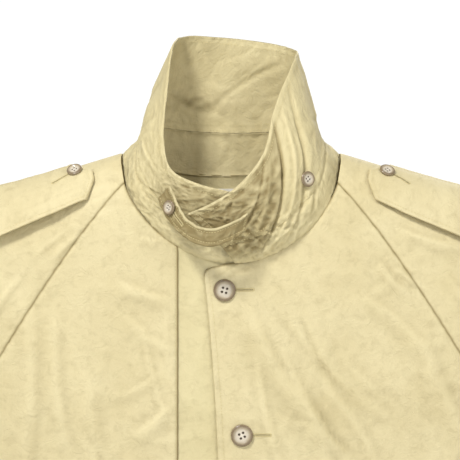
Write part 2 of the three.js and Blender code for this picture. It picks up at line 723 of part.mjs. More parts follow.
const collarCurves = COLLAR_ROWS.map((row) => new THREE.CatmullRomCurve3(
  collarNet.map((station) => {
    const [x, y, z] = station[row];
    const lift = z > 0 ? z * (row === 0 ? NECK_RISE / 22 : COLLAR_HEIGHT / NET_HEIGHT) : z * NECK_DROP / 90;
    return new THREE.Vector3(
      x * NECK_HALF_WIDTH / NET_NECK,
      y * HALF_DEPTH / NET_DEPTH,
      lift + (row === 0 ? BASE_CLEARANCE : 0),
    );
  }),
  false,
  'centripetal',
));

// Stations and rows are shares from 0 to 1.
function collarAt(u, v) {
  const column = collarCurves.map((curve) => curve.getPoint(u));
  return new THREE.CatmullRomCurve3(column, false, 'centripetal').getPoint(v);
}

function collarNormal(u, v) {
  const h = 0.004;
  const [u0, u1] = [Math.max(u - h, 0), Math.min(u + h, 1)];
  const [v0, v1] = [Math.max(v - h, 0), Math.min(v + h, 1)];
  const across = collarAt(u1, v).sub(collarAt(u0, v));
  const up = collarAt(u, v1).sub(collarAt(u, v0));
  return up.cross(across).normalize();
}

function collarBand(v0, v1, columns, rows) {
  const outer = [];
  const inner = [];
  for (let j = 0; j <= rows; j += 1) {
    const v = lerp(v0, v1, j / rows);
    outer.push([]);
    inner.push([]);
    for (let i = 0; i <= columns; i += 1) {
      const u = i / columns;
      const normal = collarNormal(u, v);
      outer[j].push(collarAt(u, v).addScaledVector(normal, COLLAR_CLOTH / 2));
      inner[j].push(collarAt(u, v).addScaledVector(normal, -COLLAR_CLOTH / 2));
    }
  }
  return sheetBetween(outer, inner);
}

const STAND_SHARE = 1 / 3;
const FALL_GAP = 0.004;
addMesh('collar_stand', collarBand(0, STAND_SHARE - FALL_GAP, 36, 2), collarCloth);
addMesh('collar_fall', collarBand(STAND_SHARE + FALL_GAP, 1, 36, 3), collarCloth);

// ---- throat tab across the collar's front, sewn down at its left end on the wearer's side

const onCollar = ([x, y, z]) => new THREE.Vector3(
  x * NECK_HALF_WIDTH / NET_NECK,
  y * HALF_DEPTH / NET_DEPTH,
  z * NECK_DROP / 90,
);
const tabLine = new THREE.CatmullRomCurve3([
  [15, -84.5, -49],
  [8, -89, -54],
  [-4, -94, -60],
  [-18, -96, -64.5],
  [-32, -94, -62.5],
  [-44, -87, -56],
  [-53, -79, -46],
  [-60.5, -72, -34],
  [-67, -66, -19],
].map(onCollar));
const tabRise = new THREE.CatmullRomCurve3([
  new THREE.Vector3(0.1, 0, 1),
  new THREE.Vector3(0.05, -0.1, 1),
  new THREE.Vector3(0.25, -0.25, 0.93),
  new THREE.Vector3(0.6, -0.5, 0.62),
]);

// The tab's centre, upward direction across it, and outward normal at a share of its length.
function tabAt(t) {
  const centre = tabLine.getPoint(t);
  const rise = tabRise.getPoint(t).normalize();
  const out = rise.clone().cross(tabLine.getTangent(t)).normalize();
  return { centre, rise, out: out.y < 0 ? out : out.negate() };
}

const tabHalfWidth = (t) => (TAB_WIDTH + TAB_FLARE * THREE.MathUtils.smoothstep(t, 0.6, 0.9)) / 2;

function tabGrid(offset, columns) {
  const grid = [[], [], []];
  for (let i = 0; i <= columns; i += 1) {
    const { centre, rise, out } = tabAt(i / columns);
    grid.forEach((row, j) => {
      const across = (j - 1) * tabHalfWidth(i / columns);
      row.push(centre.clone().addScaledVector(rise, across).addScaledVector(out, offset));
    });
  }
  return grid;
}

const throat = tabAt(TAB_BUTTON_SHARE);
const throatAlong = tabLine.getTangent(TAB_BUTTON_SHARE);
// The stiff tab swings aside from its button, so its hole runs out towards the lower end corner.
const throatHoles = [0, 3, 6].map((shift) => {
  const radius = THROAT_BUTTON / 2 + HOLE_CLEARANCE / 2;
  const hole = new THREE.CylinderGeometry(radius, radius, 14, 12);
  hole.applyQuaternion(new THREE.Quaternion().setFromUnitVectors(new THREE.Vector3(0, 1, 0), throat.out));
  const middle = throat.centre.clone()
    .addScaledVector(throat.rise, -shift * 0.75)
    .addScaledVector(throatAlong, shift * 0.65);
  return hole.translate(middle.x, middle.y, middle.z);
});
const tabSheet = sheetBetween(tabGrid(TAB_THICK / 2, 20), tabGrid(-TAB_THICK / 2, 20));
addMesh('throat_tab', cut(tabSheet, throatHoles), collarCloth);
placeButton('throat_button', THROAT_BUTTON, 7, throat.centre, throat.out, TAB_THICK / 2 + LAYER_GAP);

// ---- spare button that the open tab is fastened back to

const spare = { u: 0.8, v: 0.48 };
const sparePoint = collarAt(spare.u, spare.v);
const spareNormal = collarNormal(spare.u, spare.v);
placeButton('spare_tab_button', SMALL_BUTTON, 1, sparePoint, spareNormal, COLLAR_CLOTH / 2 + 1.4);

// The origin is the middle of the hanger loop.
coat.position.set(0, -loopPath.getPoint(0.5).y, -LOOP.rise);

export default coat;
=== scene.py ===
"""Looks of the raglan overcoat: stand-up collar, throat tab, shoulder straps, pearl buttons.

Shapes are worked out in millimetres in the coat's own modelling frame (back neck seam at height 0),
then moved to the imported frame, whose origin is the hanger loop.
"""

import math

import bpy
import numpy as np
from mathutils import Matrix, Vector
from mathutils.bvhtree import BVHTree


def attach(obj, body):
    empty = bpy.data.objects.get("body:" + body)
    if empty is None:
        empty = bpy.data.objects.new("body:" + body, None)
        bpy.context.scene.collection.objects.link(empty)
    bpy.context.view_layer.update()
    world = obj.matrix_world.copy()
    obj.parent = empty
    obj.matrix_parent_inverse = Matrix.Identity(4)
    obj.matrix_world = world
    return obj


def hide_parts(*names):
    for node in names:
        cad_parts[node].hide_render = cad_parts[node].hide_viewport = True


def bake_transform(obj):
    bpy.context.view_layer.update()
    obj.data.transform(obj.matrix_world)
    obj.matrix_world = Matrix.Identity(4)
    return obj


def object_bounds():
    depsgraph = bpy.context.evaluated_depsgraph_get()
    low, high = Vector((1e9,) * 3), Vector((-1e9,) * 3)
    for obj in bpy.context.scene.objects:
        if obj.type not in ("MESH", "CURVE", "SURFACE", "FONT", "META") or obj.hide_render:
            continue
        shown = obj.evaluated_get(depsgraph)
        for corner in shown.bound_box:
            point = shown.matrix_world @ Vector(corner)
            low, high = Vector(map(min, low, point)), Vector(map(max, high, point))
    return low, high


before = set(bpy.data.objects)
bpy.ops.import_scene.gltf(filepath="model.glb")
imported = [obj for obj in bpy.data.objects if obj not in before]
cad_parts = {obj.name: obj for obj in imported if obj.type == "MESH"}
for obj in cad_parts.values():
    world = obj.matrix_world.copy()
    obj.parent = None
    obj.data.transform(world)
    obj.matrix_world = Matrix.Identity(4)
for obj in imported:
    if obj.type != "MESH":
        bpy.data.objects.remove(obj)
cad_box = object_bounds()

MM = 0.001
SHIFT = np.array([0.0, -36.0, -7.0])

# ---- the coat's sizes, as in the CAD

NECK_HALF_WIDTH = 113
NECK_RISE = 22
SHOULDER = (285, -30)
SHOULDER_ROUND = 22
ARMPIT = (295, -290)
HEM_Z = -980
HEM = (330, HEM_Z)
HALF_DEPTH = 46
EDGE_ROUND = 70
CLOTH = 1.4
LAYER_GAP = 0.5
EDGE_BULGE = 0.35  # how far a cloth edge is rounded out, as a share of its thickness
COLLAR_CLOTH = 2.0
SEAM_GAP = 0.8
ELBOW = 0.3  # share of the underarm
SKIRT_Z = -520
SLIT_X = -54
FRONT_TOP_Z = -102
BUTTON_Z = [-118 - 147 * k for k in range(5)]
FRONT_BUTTON, SMALL_BUTTON, THROAT_BUTTON = 22.6, 16, 15  # diameters
COLLAR_HEIGHT = 143
STITCH_IN = 4.5  # how far stitch rows lie from the edges of small pieces
HEM_STITCH = 16
CUFF_STITCH = 14
COARSE = 3.8  # distance between stitches at hems

FRONT_TOP_X = -27
UNDERARM = 430
CUFF_WIDTH = 160
UPPER_ARM_WIDTH = 205
SLEEVE_SLOPE = math.radians(65)
FRONT_RAGLAN_X = NECK_HALF_WIDTH - 4
BACK_RAGLAN_X = NECK_HALF_WIDTH - 38

sleeve_down = np.array([math.cos(SLEEVE_SLOPE), -math.sin(SLEEVE_SLOPE)])
sleeve_out = np.array([-sleeve_down[1], sleeve_down[0]])
CUFF_IN = np.array(ARMPIT) + sleeve_down * UNDERARM
CUFF_OUT = CUFF_IN + sleeve_out * CUFF_WIDTH
BICEP = np.array(ARMPIT) + sleeve_out * UPPER_ARM_WIDTH
NECK_POINT = np.array([NECK_HALF_WIDTH, NECK_RISE])


def smooth(x, low, high):
    t = np.clip((x - low) / (high - low), 0, 1)
    return t * t * (3 - 2 * t)


def lerp(a, b, t):
    return a + (b - a) * t


def unit(v):
    return v / np.maximum(np.linalg.norm(v, axis=-1, keepdims=True), 1e-9)


def hump(x, middle, width):
    return np.exp(-(((x - middle) / width) ** 2))


# ---- curves


def hermite(a, b, c, d, w):
    """Centripetal Catmull-Rom between b and c."""
    w = w[..., None]

    def gap(p, q):
        return np.maximum(((p - q) ** 2).sum(-1, keepdims=True) ** 0.25, 1e-4)

    d0, d1, d2 = gap(a, b), gap(b, c), gap(c, d)
    t1 = ((b - a) / d0 - (c - a) / (d0 + d1) + (c - b) / d1) * d1
    t2 = ((c - b) / d1 - (d - b) / (d1 + d2) + (d - c) / d2) * d1
    return (
        b
        + t1 * w
        + (3 * (c - b) - 2 * t1 - t2) * w**2
        + (2 * (b - c) + t1 + t2) * w**3
    )


def curve_at(points, t):
    p = np.asarray(points, float)
    p = np.vstack([2 * p[0] - p[1], p, 2 * p[-1] - p[-2]])
    at = np.clip(t, 0, 1) * (len(p) - 3)
    i = np.minimum(at.astype(int), len(p) - 4)
    return hermite(p[i], p[i + 1], p[i + 2], p[i + 3], at - i)


def bezier(a, m, b, n=40):
    t = np.linspace(0, 1, n)[:, None]
    return lerp(lerp(np.array(a), np.array(m), t), lerp(np.array(m), np.array(b), t), t)


def read_at(at, s, values):
    """Each column of values, which stand at places s, read at other places."""
    return np.stack([np.interp(at, s, column) for column in values.T], -1)


def along(points):
    """A function of a share of the line's length."""
    p = np.asarray(points, float)
    s = np.r_[0, np.cumsum(np.sqrt((np.diff(p, axis=0) ** 2).sum(1)))]
    s = s / s[-1]
    return lambda t: read_at(t, s, p)


def line(a, b):
    return along([a, b])


mid_out = np.array([BICEP[0] - SHOULDER[0], BICEP[1] - SHOULDER[1]])
mid_out = np.array([-mid_out[1], mid_out[0]]) / np.hypot(*mid_out)
shoulder_mid = (np.array(SHOULDER) + BICEP) / 2 + mid_out * SHOULDER_ROUND
ridge_points = [NECK_POINT, (NECK_POINT + SHOULDER) / 2, SHOULDER, shoulder_mid, BICEP]
ridge = curve_at(ridge_points, np.linspace(0, 1, 60))

upper_line = np.vstack([[[0, 92], [62, 72]], ridge, [CUFF_OUT, CUFF_OUT + sleeve_down * 200]])
lower_line = np.array([CUFF_IN + sleeve_down * 200, CUFF_IN, ARMPIT, HEM, (HEM[0], HEM_Z - 200)])


def front_neck(x0, x1, n=50):
    x = np.linspace(x0, x1, n)
    share = np.minimum(np.abs(x) / NECK_HALF_WIDTH, 1)
    return np.c_[x, 14 - 104 * (1 - share**1.8) ** (1 / 1.8)]


def back_neck(x0, x1, n=30):
    x = np.linspace(x0, x1, n)
    return np.c_[x, NECK_RISE * (np.abs(x) / NECK_HALF_WIDTH) ** 2.2]


def raglan(x, z):
    return bezier((x, z), (lerp(x, ARMPIT[0], 0.42), lerp(z, ARMPIT[1], 0.31)), ARMPIT)


front_raglan = raglan(*front_neck(FRONT_RAGLAN_X, FRONT_RAGLAN_X, 1)[0])
back_raglan = raglan(*back_neck(BACK_RAGLAN_X, BACK_RAGLAN_X, 1)[0])


def front_edge_x(z):
    return FRONT_TOP_X + 22 * (1 - np.exp((z - FRONT_TOP_Z) / 180))


def button_x(z):
    return FRONT_TOP_X + 20.5 + 26 * (1 - math.exp((z - BUTTON_Z[0]) / 130))


# ---- the two curved faces of the coat


def to_outline(x, z):
    least = np.full(np.shape(x), 1e9)
    for pts in (upper_line, lower_line):
        for a, b in zip(pts[:-1], pts[1:]):
            dx, dz = b - a
            t = np.clip(((np.abs(x) - a[0]) * dx + (z - a[1]) * dz) / (dx * dx + dz * dz), 0, 1)
            least = np.minimum(least, np.hypot(np.abs(x) - a[0] - t * dx, z - a[1] - t * dz))
    return least


def depth(x, z):
    t = np.clip(1 - np.maximum(to_outline(x, z), 0.02) / EDGE_ROUND, 0, 1)
    return HALF_DEPTH * np.sqrt(1 - t * t)


def on_face(x, z, side):
    """Points and outward normals of the front (side -1) or back (+1)."""
    h = 0.5
    sx = (depth(x + h, z) - depth(x - h, z)) / (2 * h)
    sz = (depth(x, z + h) - depth(x, z - h)) / (2 * h)
    edge = to_outline(x, z) < h
    n = np.stack([-sx, np.where(edge, 0, side), -sz], -1)
    p = np.stack([x, side * (SEAM_GAP / 2 + depth(x, z)), z], -1)
    return p, unit(n)


# ---- noise, and the folds of the cloth

rng = np.random.default_rng(11)
spin = rng.random((256, 256)) * 2 * math.pi
GX, GY = np.cos(spin), np.sin(spin)


def noise(x, y):
    xi, yi = np.floor(x).astype(int), np.floor(y).astype(int)
    fx, fy = x - xi, y - yi

    def corner(i, j):
        a, b = (xi + i) & 255, (yi + j) & 255
        return GX[a, b] * (fx - i) + GY[a, b] * (fy - j)

    def ease(t):
        return t * t * t * (t * (t * 6 - 15) + 10)

    u, v = ease(fx), ease(fy)
    low = lerp(corner(0, 0), corner(1, 0), u)
    return 1.5 * lerp(low, lerp(corner(0, 1), corner(1, 1), u), v)


def creased(x, y, size, seed=0.0):
    """Sharp little ridges with flat cloth between, as washed nylon has."""
    a, b = x / size + seed, y / size - seed
    wx = a + 0.7 * noise(a * 0.6 + 9.1, b * 0.6)
    wy = b + 0.7 * noise(a * 0.6, b * 0.6 + 4.7)
    ridges = 1 - np.abs(noise(wx, wy)) * 1.6
    return np.clip(ridges, 0, 1) ** 3 - 0.25


def stroke(x, z, a, b, width, height, bend=0.0, steep=0.55):
    """One fold from a to b. Its far side is steeper by that share."""
    a, b = np.array(a, float), np.array(b, float)
    d = b - a
    size = np.hypot(*d)
    t = ((x - a[0]) * d[0] + (z - a[1]) * d[1]) / size**2
    s = ((x - a[0]) * d[1] - (z - a[1]) * d[0]) / size
    s = s - bend * 4 * t * (1 - t)
    w = np.where(s > 0, width, width * steep)
    return height * np.exp(-((s / w) ** 2)) * smooth(t, -0.05, 0.3) * (1 - smooth(t, 0.65, 1.05))


# start, end, width, height, bend: folds seen on the front, +x is the wearer's left
FRONT_FOLDS = [
    ((12, -122), (135, -300), 13, 3.2, 16),
    ((30, -118), (165, -262), 9, -1.6, 10),
    ((60, -190), (120, -420), 16, 2.6, -10),
    ((147, -86), (182, -124), 5, 1.5, 3),
    ((156, -84), (196, -116), 4, 1.2, 2),
    ((165, -54), (240, -76), 6, 1.6, 3),
    ((120, -120), (205, -190), 9, 1.8, -8),
    ((190, -150), (262, -300), 12, 2.2, 9),
    ((-22, -110), (12, -88), 3.5, 1.3, 2),
    ((-20, -118), (26, -98), 3.5, 1.0, -2),
    ((-18, -140), (2, -133), 3, 0.8, 0),
    ((-118, -108), (-58, -130), 9, 1.8, 3),
    ((-110, -140), (-58, -180), 8, 1.2, 5),
    ((-94, -64), (-70, -71), 3.5, 1.0, 0),
    ((-104, -270), (-56, -228), 9, 2.0, 4),
    ((-150, -60), (-182, -92), 5, 1.5, 3),
    ((-160, -56), (-200, -86), 4, 1.0, 2),
    ((-176, -130), (-160, -300), 9, 1.8, 8),
    ((-205, -120), (-215, -330), 11, 2.2, -8),
    ((-140, -190), (-120, -380), 14, 2.2, 9),
    ((-60, -300), (-90, -470), 14, 2.4, -6),
    ((20, -290), (60, -520), 18, 2.6, 8),
    ((40, -150), (150, -330), 5, 1.3, 10),
    ((70, -140), (120, -230), 4, -1.1, 6),
    ((95, -215), (150, -300), 4.5, 1.2, -6),
    ((25, -180), (60, -320), 5, 1.2, 5),
    ((110, -180), (175, -240), 4, 1.0, 4),
    ((58, -240), (135, -290), 4.5, -1.2, -4),
    ((-130, -230), (-70, -200), 5, 1.1, 5),
    ((-150, -250), (-100, -330), 5, -1.1, 5),
    ((-90, -150), (-60, -260), 4, 0.9, 4),
    ((-205, -95), (-262, -190), 5, 1.2, 6),
    ((215, -100), (270, -200), 5, 1.2, -6),
]
BACK_FOLDS = [
    ((-150, -60), (-40, -120), 12, 2.0, 6),
    ((150, -60), (40, -120), 12, 2.0, -6),
    ((-60, -150), (-90, -420), 18, 3.0, 10),
    ((80, -170), (110, -460), 18, 3.0, -12),
    ((-200, -200), (-120, -420), 15, 2.6, 12),
    ((220, -190), (130, -430), 15, 2.6, -10),
    ((10, -260), (-20, -560), 20, 2.4, 5),
]


def hanging(x, z, seed):
    """Long soft folds that open towards the hem."""
    grow = smooth(-z, 260, 900)
    wander = 22 * noise(z / 260 + seed, seed * 3.1 + x / 400)
    broad = noise((x + wander) / 62 + seed, z / 900 + seed)
    return grow * (5.2 * broad + 1.6 * noise((x + wander) / 24 - seed, z / 420))


def sleeve_place(x, z):
    """How far down the underarm and how far across from it, in mm."""
    px, pz = np.abs(x) - ARMPIT[0], z - ARMPIT[1]
    return px * sleeve_down[0] + pz * sleeve_down[1], px * sleeve_out[0] + pz * sleeve_out[1]


def relief(x, z, side):
    """Height of the cloth's folds over the plain face, in mm."""
    seed = 3.3 if side < 0 else 8.1
    folds = FRONT_FOLDS if side < 0 else BACK_FOLDS
    total = hanging(x, z, seed)
    for a, b, width, height, bend in folds:
        total = total + 1.9 * stroke(x, z, a, b, width, height, bend)
    down, across = sleeve_place(x, z)
    arm = smooth(across, -25, 15) * smooth(down, -70, 10)
    total = total * (1 - arm)
    sign = np.sign(x + 1e-9)
    slant = down - 0.55 * across + 11 * noise(across / 60 + sign * 5, down / 90 + seed)
    elbow = hump(down, 130, 85)
    rings = noise(slant / 26 + seed, across / 130 + sign * 2) * (1.1 + 2.6 * elbow)
    armpit = hump(down, -10, 60) * noise((down + across) / 20 + seed, (down - across) / 90)
    long = noise(across / 38 + sign * 3 + seed, down / 330)
    cuff = np.exp(-(((down - 340) / 66) ** 4))
    total = total + arm * (rings + 1.8 * armpit + 2.2 * long) * (1 - 0.7 * cuff)
    total = total + 1.7 * noise(x / 95 + seed, z / 110 - seed)
    patchy = smooth(noise(x / 150 - seed, z / 130 + seed), -0.1, 0.6)
    total = total + 0.95 * creased(x, z, 62, seed)
    total = total + (0.15 + 0.5 * patchy) * creased(x * 0.8, z * 1.1, 24, seed + 2)
    total = total + (0.04 + 0.22 * patchy) * creased(x, z, 10, seed + 5)
    return total * (1 - 0.92 * arm * cuff) * smooth(to_outline(x, z), 0, 16)


# ---- meshes


def mesh_object(name, verts, faces, materials, attributes=None):
    mesh = bpy.data.meshes.new(name)
    v = (np.asarray(verts, float) + SHIFT) * MM
    mesh.from_pydata(v.tolist(), [], [list(map(int, f)) for f in faces])
    for material in materials:
        mesh.materials.append(material)
    mesh.polygons.foreach_set("use_smooth", [True] * len(mesh.polygons))
    for key, values in (attributes or {}).items():
        values = np.asarray(values, np.float32)
        kind = "FLOAT" if values.ndim == 1 else "FLOAT_VECTOR"
        attribute = mesh.attributes.new(key, kind, "POINT")
        attribute.data.foreach_set("value" if values.ndim == 1 else "vector", values.ravel())
    mesh.update()
    obj = bpy.data.objects.new(name, mesh)
    bpy.context.scene.collection.objects.link(obj)
    return obj


def grid_quads(rows, columns, base=0):
    r, c = np.meshgrid(np.arange(rows - 1), np.arange(columns - 1), indexing="ij")
    a = base + (r * columns + c).ravel()
    return np.stack([a, a + 1, a + columns + 1, a + columns], 1)


def ring_of(rows, columns):
    """Indices round a grid's border."""
    top = np.arange(columns)
    right = np.arange(1, rows) * columns + columns - 1
    bottom = (rows - 1) * columns + np.arange(columns - 2, -1, -1)
    left = np.arange(rows - 2, 0, -1) * columns
    return np.r_[top, right, bottom, left]


def inset(grid, edge):
    """Distance in from one edge at each grid point, along the grid."""
    g = grid if edge in ("start", "top") else grid[::-1, ::-1]
    axis = 1 if edge in ("start", "end") else 0
    d = np.cumsum(np.linalg.norm(np.diff(g, axis=axis), axis=-1), axis=axis)
    d = np.concatenate([np.zeros_like(np.take(d, [0], axis=axis)), d], axis=axis)
    return d if edge in ("start", "top") else d[::-1, ::-1]


class Shell:
    """A piece of cloth: a closed sheet with a rounded edge, and what is known about its outer face."""

    def __init__(self, name, outer, normal, thick, material, cloth, tone=None):
        rows, columns = outer.shape[:2]
        inner = outer - normal * thick
        ring = ring_of(rows, columns)
        flat_outer, flat_inner = outer.reshape(-1, 3), inner.reshape(-1, 3)
        middle = (flat_outer[ring] + flat_inner[ring]) / 2
        away = middle - self.inside_of(flat_outer, rows, columns, ring)
        away = away - (away * normal.reshape(-1, 3)[ring]).sum(1)[:, None] * normal.reshape(-1, 3)[ring]
        middle = middle + unit(away) * thick * EDGE_BULGE
        n = rows * columns
        quads = grid_quads(rows, columns)
        mid_r, mid_c = rows // 2, columns // 2
        a = outer[mid_r, mid_c]
        wind = np.cross(outer[mid_r, mid_c + 1] - a, outer[mid_r + 1, mid_c] - a) @ normal[mid_r, mid_c]
        m = 2 * n + np.arange(len(ring))
        after = np.roll(np.arange(len(ring)), -1)
        faces = np.vstack([
            quads,
            quads[:, ::-1] + n,
            np.stack([ring[after], ring, m, m[after]], 1),
            np.stack([m[after], m, ring + n, ring[after] + n], 1),
        ])
        if wind < 0:
            faces = faces[:, ::-1]
        at = cloth.reshape(-1, cloth.shape[-1])
        at3 = np.c_[at[:, :2] * MM, np.zeros(len(at))]
        tone = np.ones(n) if tone is None else tone.ravel()
        self.obj = mesh_object(
            name,
            np.vstack([flat_outer, flat_inner, middle]),
            faces,
            [material],
            {
                "cloth_at": np.vstack([at3, at3 + [0, 0, 0.5], at3[ring]]),
                "tone": np.r_[tone, tone, tone[ring]],
            },
        )
        self.outer, self.inner, self.normal, self.thick = outer, inner, normal, thick
        self.rows, self.columns = rows, columns
        self.tree = BVHTree.FromPolygons(flat_outer.tolist(), quads.tolist())
        self.area = self.sheet_area(outer)

    @staticmethod
    def inside_of(points, rows, columns, ring):
        r, c = ring // columns, ring % columns
        r = np.clip(r, 1, rows - 2)
        c = np.clip(c, 1, columns - 2)
        return points[r * columns + c]

    @staticmethod
    def sheet_area(grid):
        a = grid[:-1, :-1] - grid[1:, 1:]
        b = grid[:-1, 1:] - grid[1:, :-1]
        return float(np.linalg.norm(np.cross(a, b), axis=-1).sum() / 2)

    def row_of(self, edge, offset, side="outer"):
        """A line of points (and normals) that runs along one edge, offset mm in from it."""
        d = inset(self.outer, edge)
        grid = self.outer if side == "outer" else self.inner
        normal = self.normal if side == "outer" else -self.normal
        if edge in ("top", "bottom"):
            d, grid, normal = d.T, grid.transpose(1, 0, 2), normal.transpose(1, 0, 2)
        if edge in ("end", "bottom"):
            d, grid, normal = d[:, ::-1], grid[:, ::-1], normal[:, ::-1]
        points = [read_at(offset, *row) for row in zip(d, grid)]
        normals = [read_at(offset, *row) for row in zip(d, normal)]
        return np.array(points), np.array(normals)

    def hit(self, point, normal, reach=40):
        """The outer face's point over or under a point along a direction."""
        start = Vector(point + normal * reach)
        found = self.tree.ray_cast(start, Vector(-normal), 2 * reach)
        return np.array(found[0]) if found[0] is not None else np.array(point)


# ---- stitches: short rounded threads lying on the cloth


class Threads:
    """Collects stitches that move with the same cloth, and makes one mesh of them."""

    AROUND = 5
    END, LIFT, RADIUS = 2.0, 0.08, 0.3
    RINGS = ((-0.5, 0.25), (-0.36, 0.85), (0.0, 1.0), (0.36, 0.85), (0.5, 0.25))

    def __init__(self, name):
        self.name, self.verts, self.faces, self.count = name, [], [], 0

    def stitch(self, centres, directions, normals, length, radius):
        directions = unit(directions)
        sides = unit(np.cross(directions, normals))
        ups = np.cross(sides, directions)
        k = self.AROUND
        rings = []
        for place, share in self.RINGS:
            for i in range(k):
                angle = 2 * math.pi * i / k
                rings.append(
                    centres
                    + directions * length * place
                    + sides * radius * share * math.cos(angle)
                    + ups * radius * share * math.sin(angle) * 0.8
                    - normals * radius * 0.9 * abs(place) ** 2 * 4
                )
        block = np.stack(rings, 1)
        per = len(self.RINGS) * k
        local = []
        for r in range(len(self.RINGS) - 1):
            for i in range(k):
                j = (i + 1) % k
                local.append([r * k + i, r * k + j, (r + 1) * k + j, (r + 1) * k + i])
        local = np.array(local)
        base = self.count + np.arange(len(centres))[:, None, None] * per
        self.faces.extend((local[None] + base).reshape(-1, 4).tolist())
        caps = [list(range(k))[::-1], [per - k + i for i in range(k)]]
        for n in range(len(centres)):
            self.faces.extend([[c + self.count + n * per for c in cap] for cap in caps])
        self.verts.append(block.reshape(-1, 3))
        self.count += per * len(centres)

    def run(self, points, normals, pitch=3.1, length=2.3, start=2.0):
        """A row of stitches along a line."""
        seg = np.linalg.norm(np.diff(points, axis=0), axis=1)
        s = np.r_[0, np.cumsum(seg)]
        if s[-1] < start + self.END + pitch:
            return
        at = np.arange(start, s[-1] - self.END, pitch)
        at = at + 0.25 * np.sin(at * 1.7)
        directions = read_at(at + 0.6, s, points) - read_at(at - 0.6, s, points)
        n = unit(read_at(at, s, normals))
        self.stitch(read_at(at, s, points) + n * self.LIFT, directions, n, length, self.RADIUS)

    def build(self, material):
        verts = np.vstack(self.verts)
        return mesh_object(self.name, verts, self.faces, [material])


# ---- materials


def node_material(name):
    material = bpy.data.materials.new(name)
    material.use_nodes = True
    return material, material.node_tree, material.node_tree.nodes["Principled BSDF"]


def rgba(r, g, b):
    """A colour given as sRGB bytes, as the renderer's own linear values."""
    def one(c):
        c = c / 255
        return c / 12.92 if c <= 0.04045 else ((c + 0.055) / 1.055) ** 2.4
    return (one(r), one(g), one(b), 1)


def feed(tree, node, inputs):
    """Sets a node's inputs to plain values, or links them to other nodes' outputs."""
    for key, value in inputs.items():
        if isinstance(value, bpy.types.NodeSocket):
            tree.links.new(value, node.inputs[key])
        else:
            node.inputs[key].default_value = value


def add(tree, kind, inputs):
    node = tree.nodes.new(kind)
    feed(tree, node, inputs)
    return node


def attribute(tree, name, output="Fac"):
    node = tree.nodes.new("ShaderNodeAttribute")
    node.attribute_name = name
    return node.outputs[output]


def mix_colour(tree, factor, a, b):
    node = tree.nodes.new("ShaderNodeMix")
    node.data_type = "RGBA"
    feed(tree, node, {0: factor, 6: a, 7: b})
    return node.outputs[2]


def ramp(tree, value, stops):
    node = add(tree, "ShaderNodeValToRGB", {0: value})
    elements = node.color_ramp.elements
    while len(elements) < len(stops):
        elements.new(0.5)
    for element, (place, grey) in zip(elements, stops):
        element.position = place
        element.color = grey if isinstance(grey, tuple) else (grey, grey, grey, 1)
    return node.outputs[0]


def noise_node(tree, vector, scale, detail=2.0, roughness=0.5, distortion=0.0):
    inputs = {"Vector": vector, "Scale": scale, "Detail": detail}
    inputs.update({"Roughness": roughness, "Distortion": distortion})
    return add(tree, "ShaderNodeTexNoise", inputs).outputs[0]


def math_node(tree, operation, a, b):
    node = tree.nodes.new("ShaderNodeMath")
    node.operation = operation
    feed(tree, node, {0: a, 1: b})
    return node.outputs[0]


def fabric(name, base, shade, stain_and_shade, crinkle=1.0):
    """Washed nylon and cotton: fine weave, packed creases, slight fading and dust, and the painted shade and
    highlights carried by the tone attribute.
    """
    material, tree, shader = node_material(name)
    at = attribute(tree, "cloth_at", "Vector")
    cloudy = noise_node(tree, at, 11, 4, 0.6)
    fine = noise_node(tree, at, 95, 3, 0.6, 0.4)
    specks = math_node(tree, "MULTIPLY", ramp(tree, fine, [(0.5, 0.0), (0.78, 1.0)]), 0.22)
    grain = math_node(tree, "MULTIPLY", noise_node(tree, at, 900, 1, 0.4), 0.10)
    # painted shade and painted highlights from the tone attribute, together with the collar's real stain,
    # darken the cloth towards the brown
    dirt_and_shade = math_node(tree, "SUBTRACT", 1.0, attribute(tree, "tone"))
    colour = mix_colour(tree, ramp(tree, cloudy, [(0.34, 0.0), (0.68, 1.0)]), base, shade)
    for amount in (specks, grain, dirt_and_shade):
        colour = mix_colour(tree, amount, colour, stain_and_shade)
    ways = []
    for axis in ("X", "Y"):
        wave = add(tree, "ShaderNodeTexWave", {"Vector": at, "Scale": 260, "Distortion": 1.2, "Detail": 1})
        wave.bands_direction = axis
        ways.append(wave.outputs["Fac"])
    weave = math_node(tree, "MAXIMUM", *ways)
    wrinkle = noise_node(tree, at, 62, 4, 0.62, 0.9)
    sharp = ramp(tree, wrinkle, [(0.36, 0.0), (0.5, 1.0), (0.66, 0.15)])
    packed = noise_node(tree, at, 210, 3, 0.6, 0.6)
    heap = math_node(tree, "ADD", math_node(tree, "MULTIPLY", sharp, 0.55), packed)
    creases = add(tree, "ShaderNodeBump", {"Strength": 0.55 * crinkle, "Distance": 0.0007, "Height": heap})
    weaving = add(tree, "ShaderNodeBump", {"Strength": 0.25, "Distance": 0.00008, "Height": weave})
    feed(tree, weaving, {"Normal": creases.outputs["Normal"]})
    feed(tree, shader, {
        "Base Color": colour,
        "Normal": weaving.outputs["Normal"],
        "Roughness": ramp(tree, cloudy, [(0.3, 0.56), (0.7, 0.7)]),
        "Sheen Weight": 0.18,
        "Sheen Roughness": 0.4,
        "Sheen Tint": rgba(255, 246, 214),
        "Specular IOR Level": 0.3,
    })
    return material


def thread_material(name, colour):
    material, tree, shader = node_material(name)
    at = tree.nodes.new("ShaderNodeTexCoord").outputs["Object"]
    dark = tuple(c * 0.8 for c in colour[:3]) + (1,)
    twisted = mix_colour(tree, noise_node(tree, at, 700, 2), dark, colour)
    feed(tree, shader, {"Base Color": twisted, "Roughness": 0.55, "Sheen Weight": 0.1})
    return material


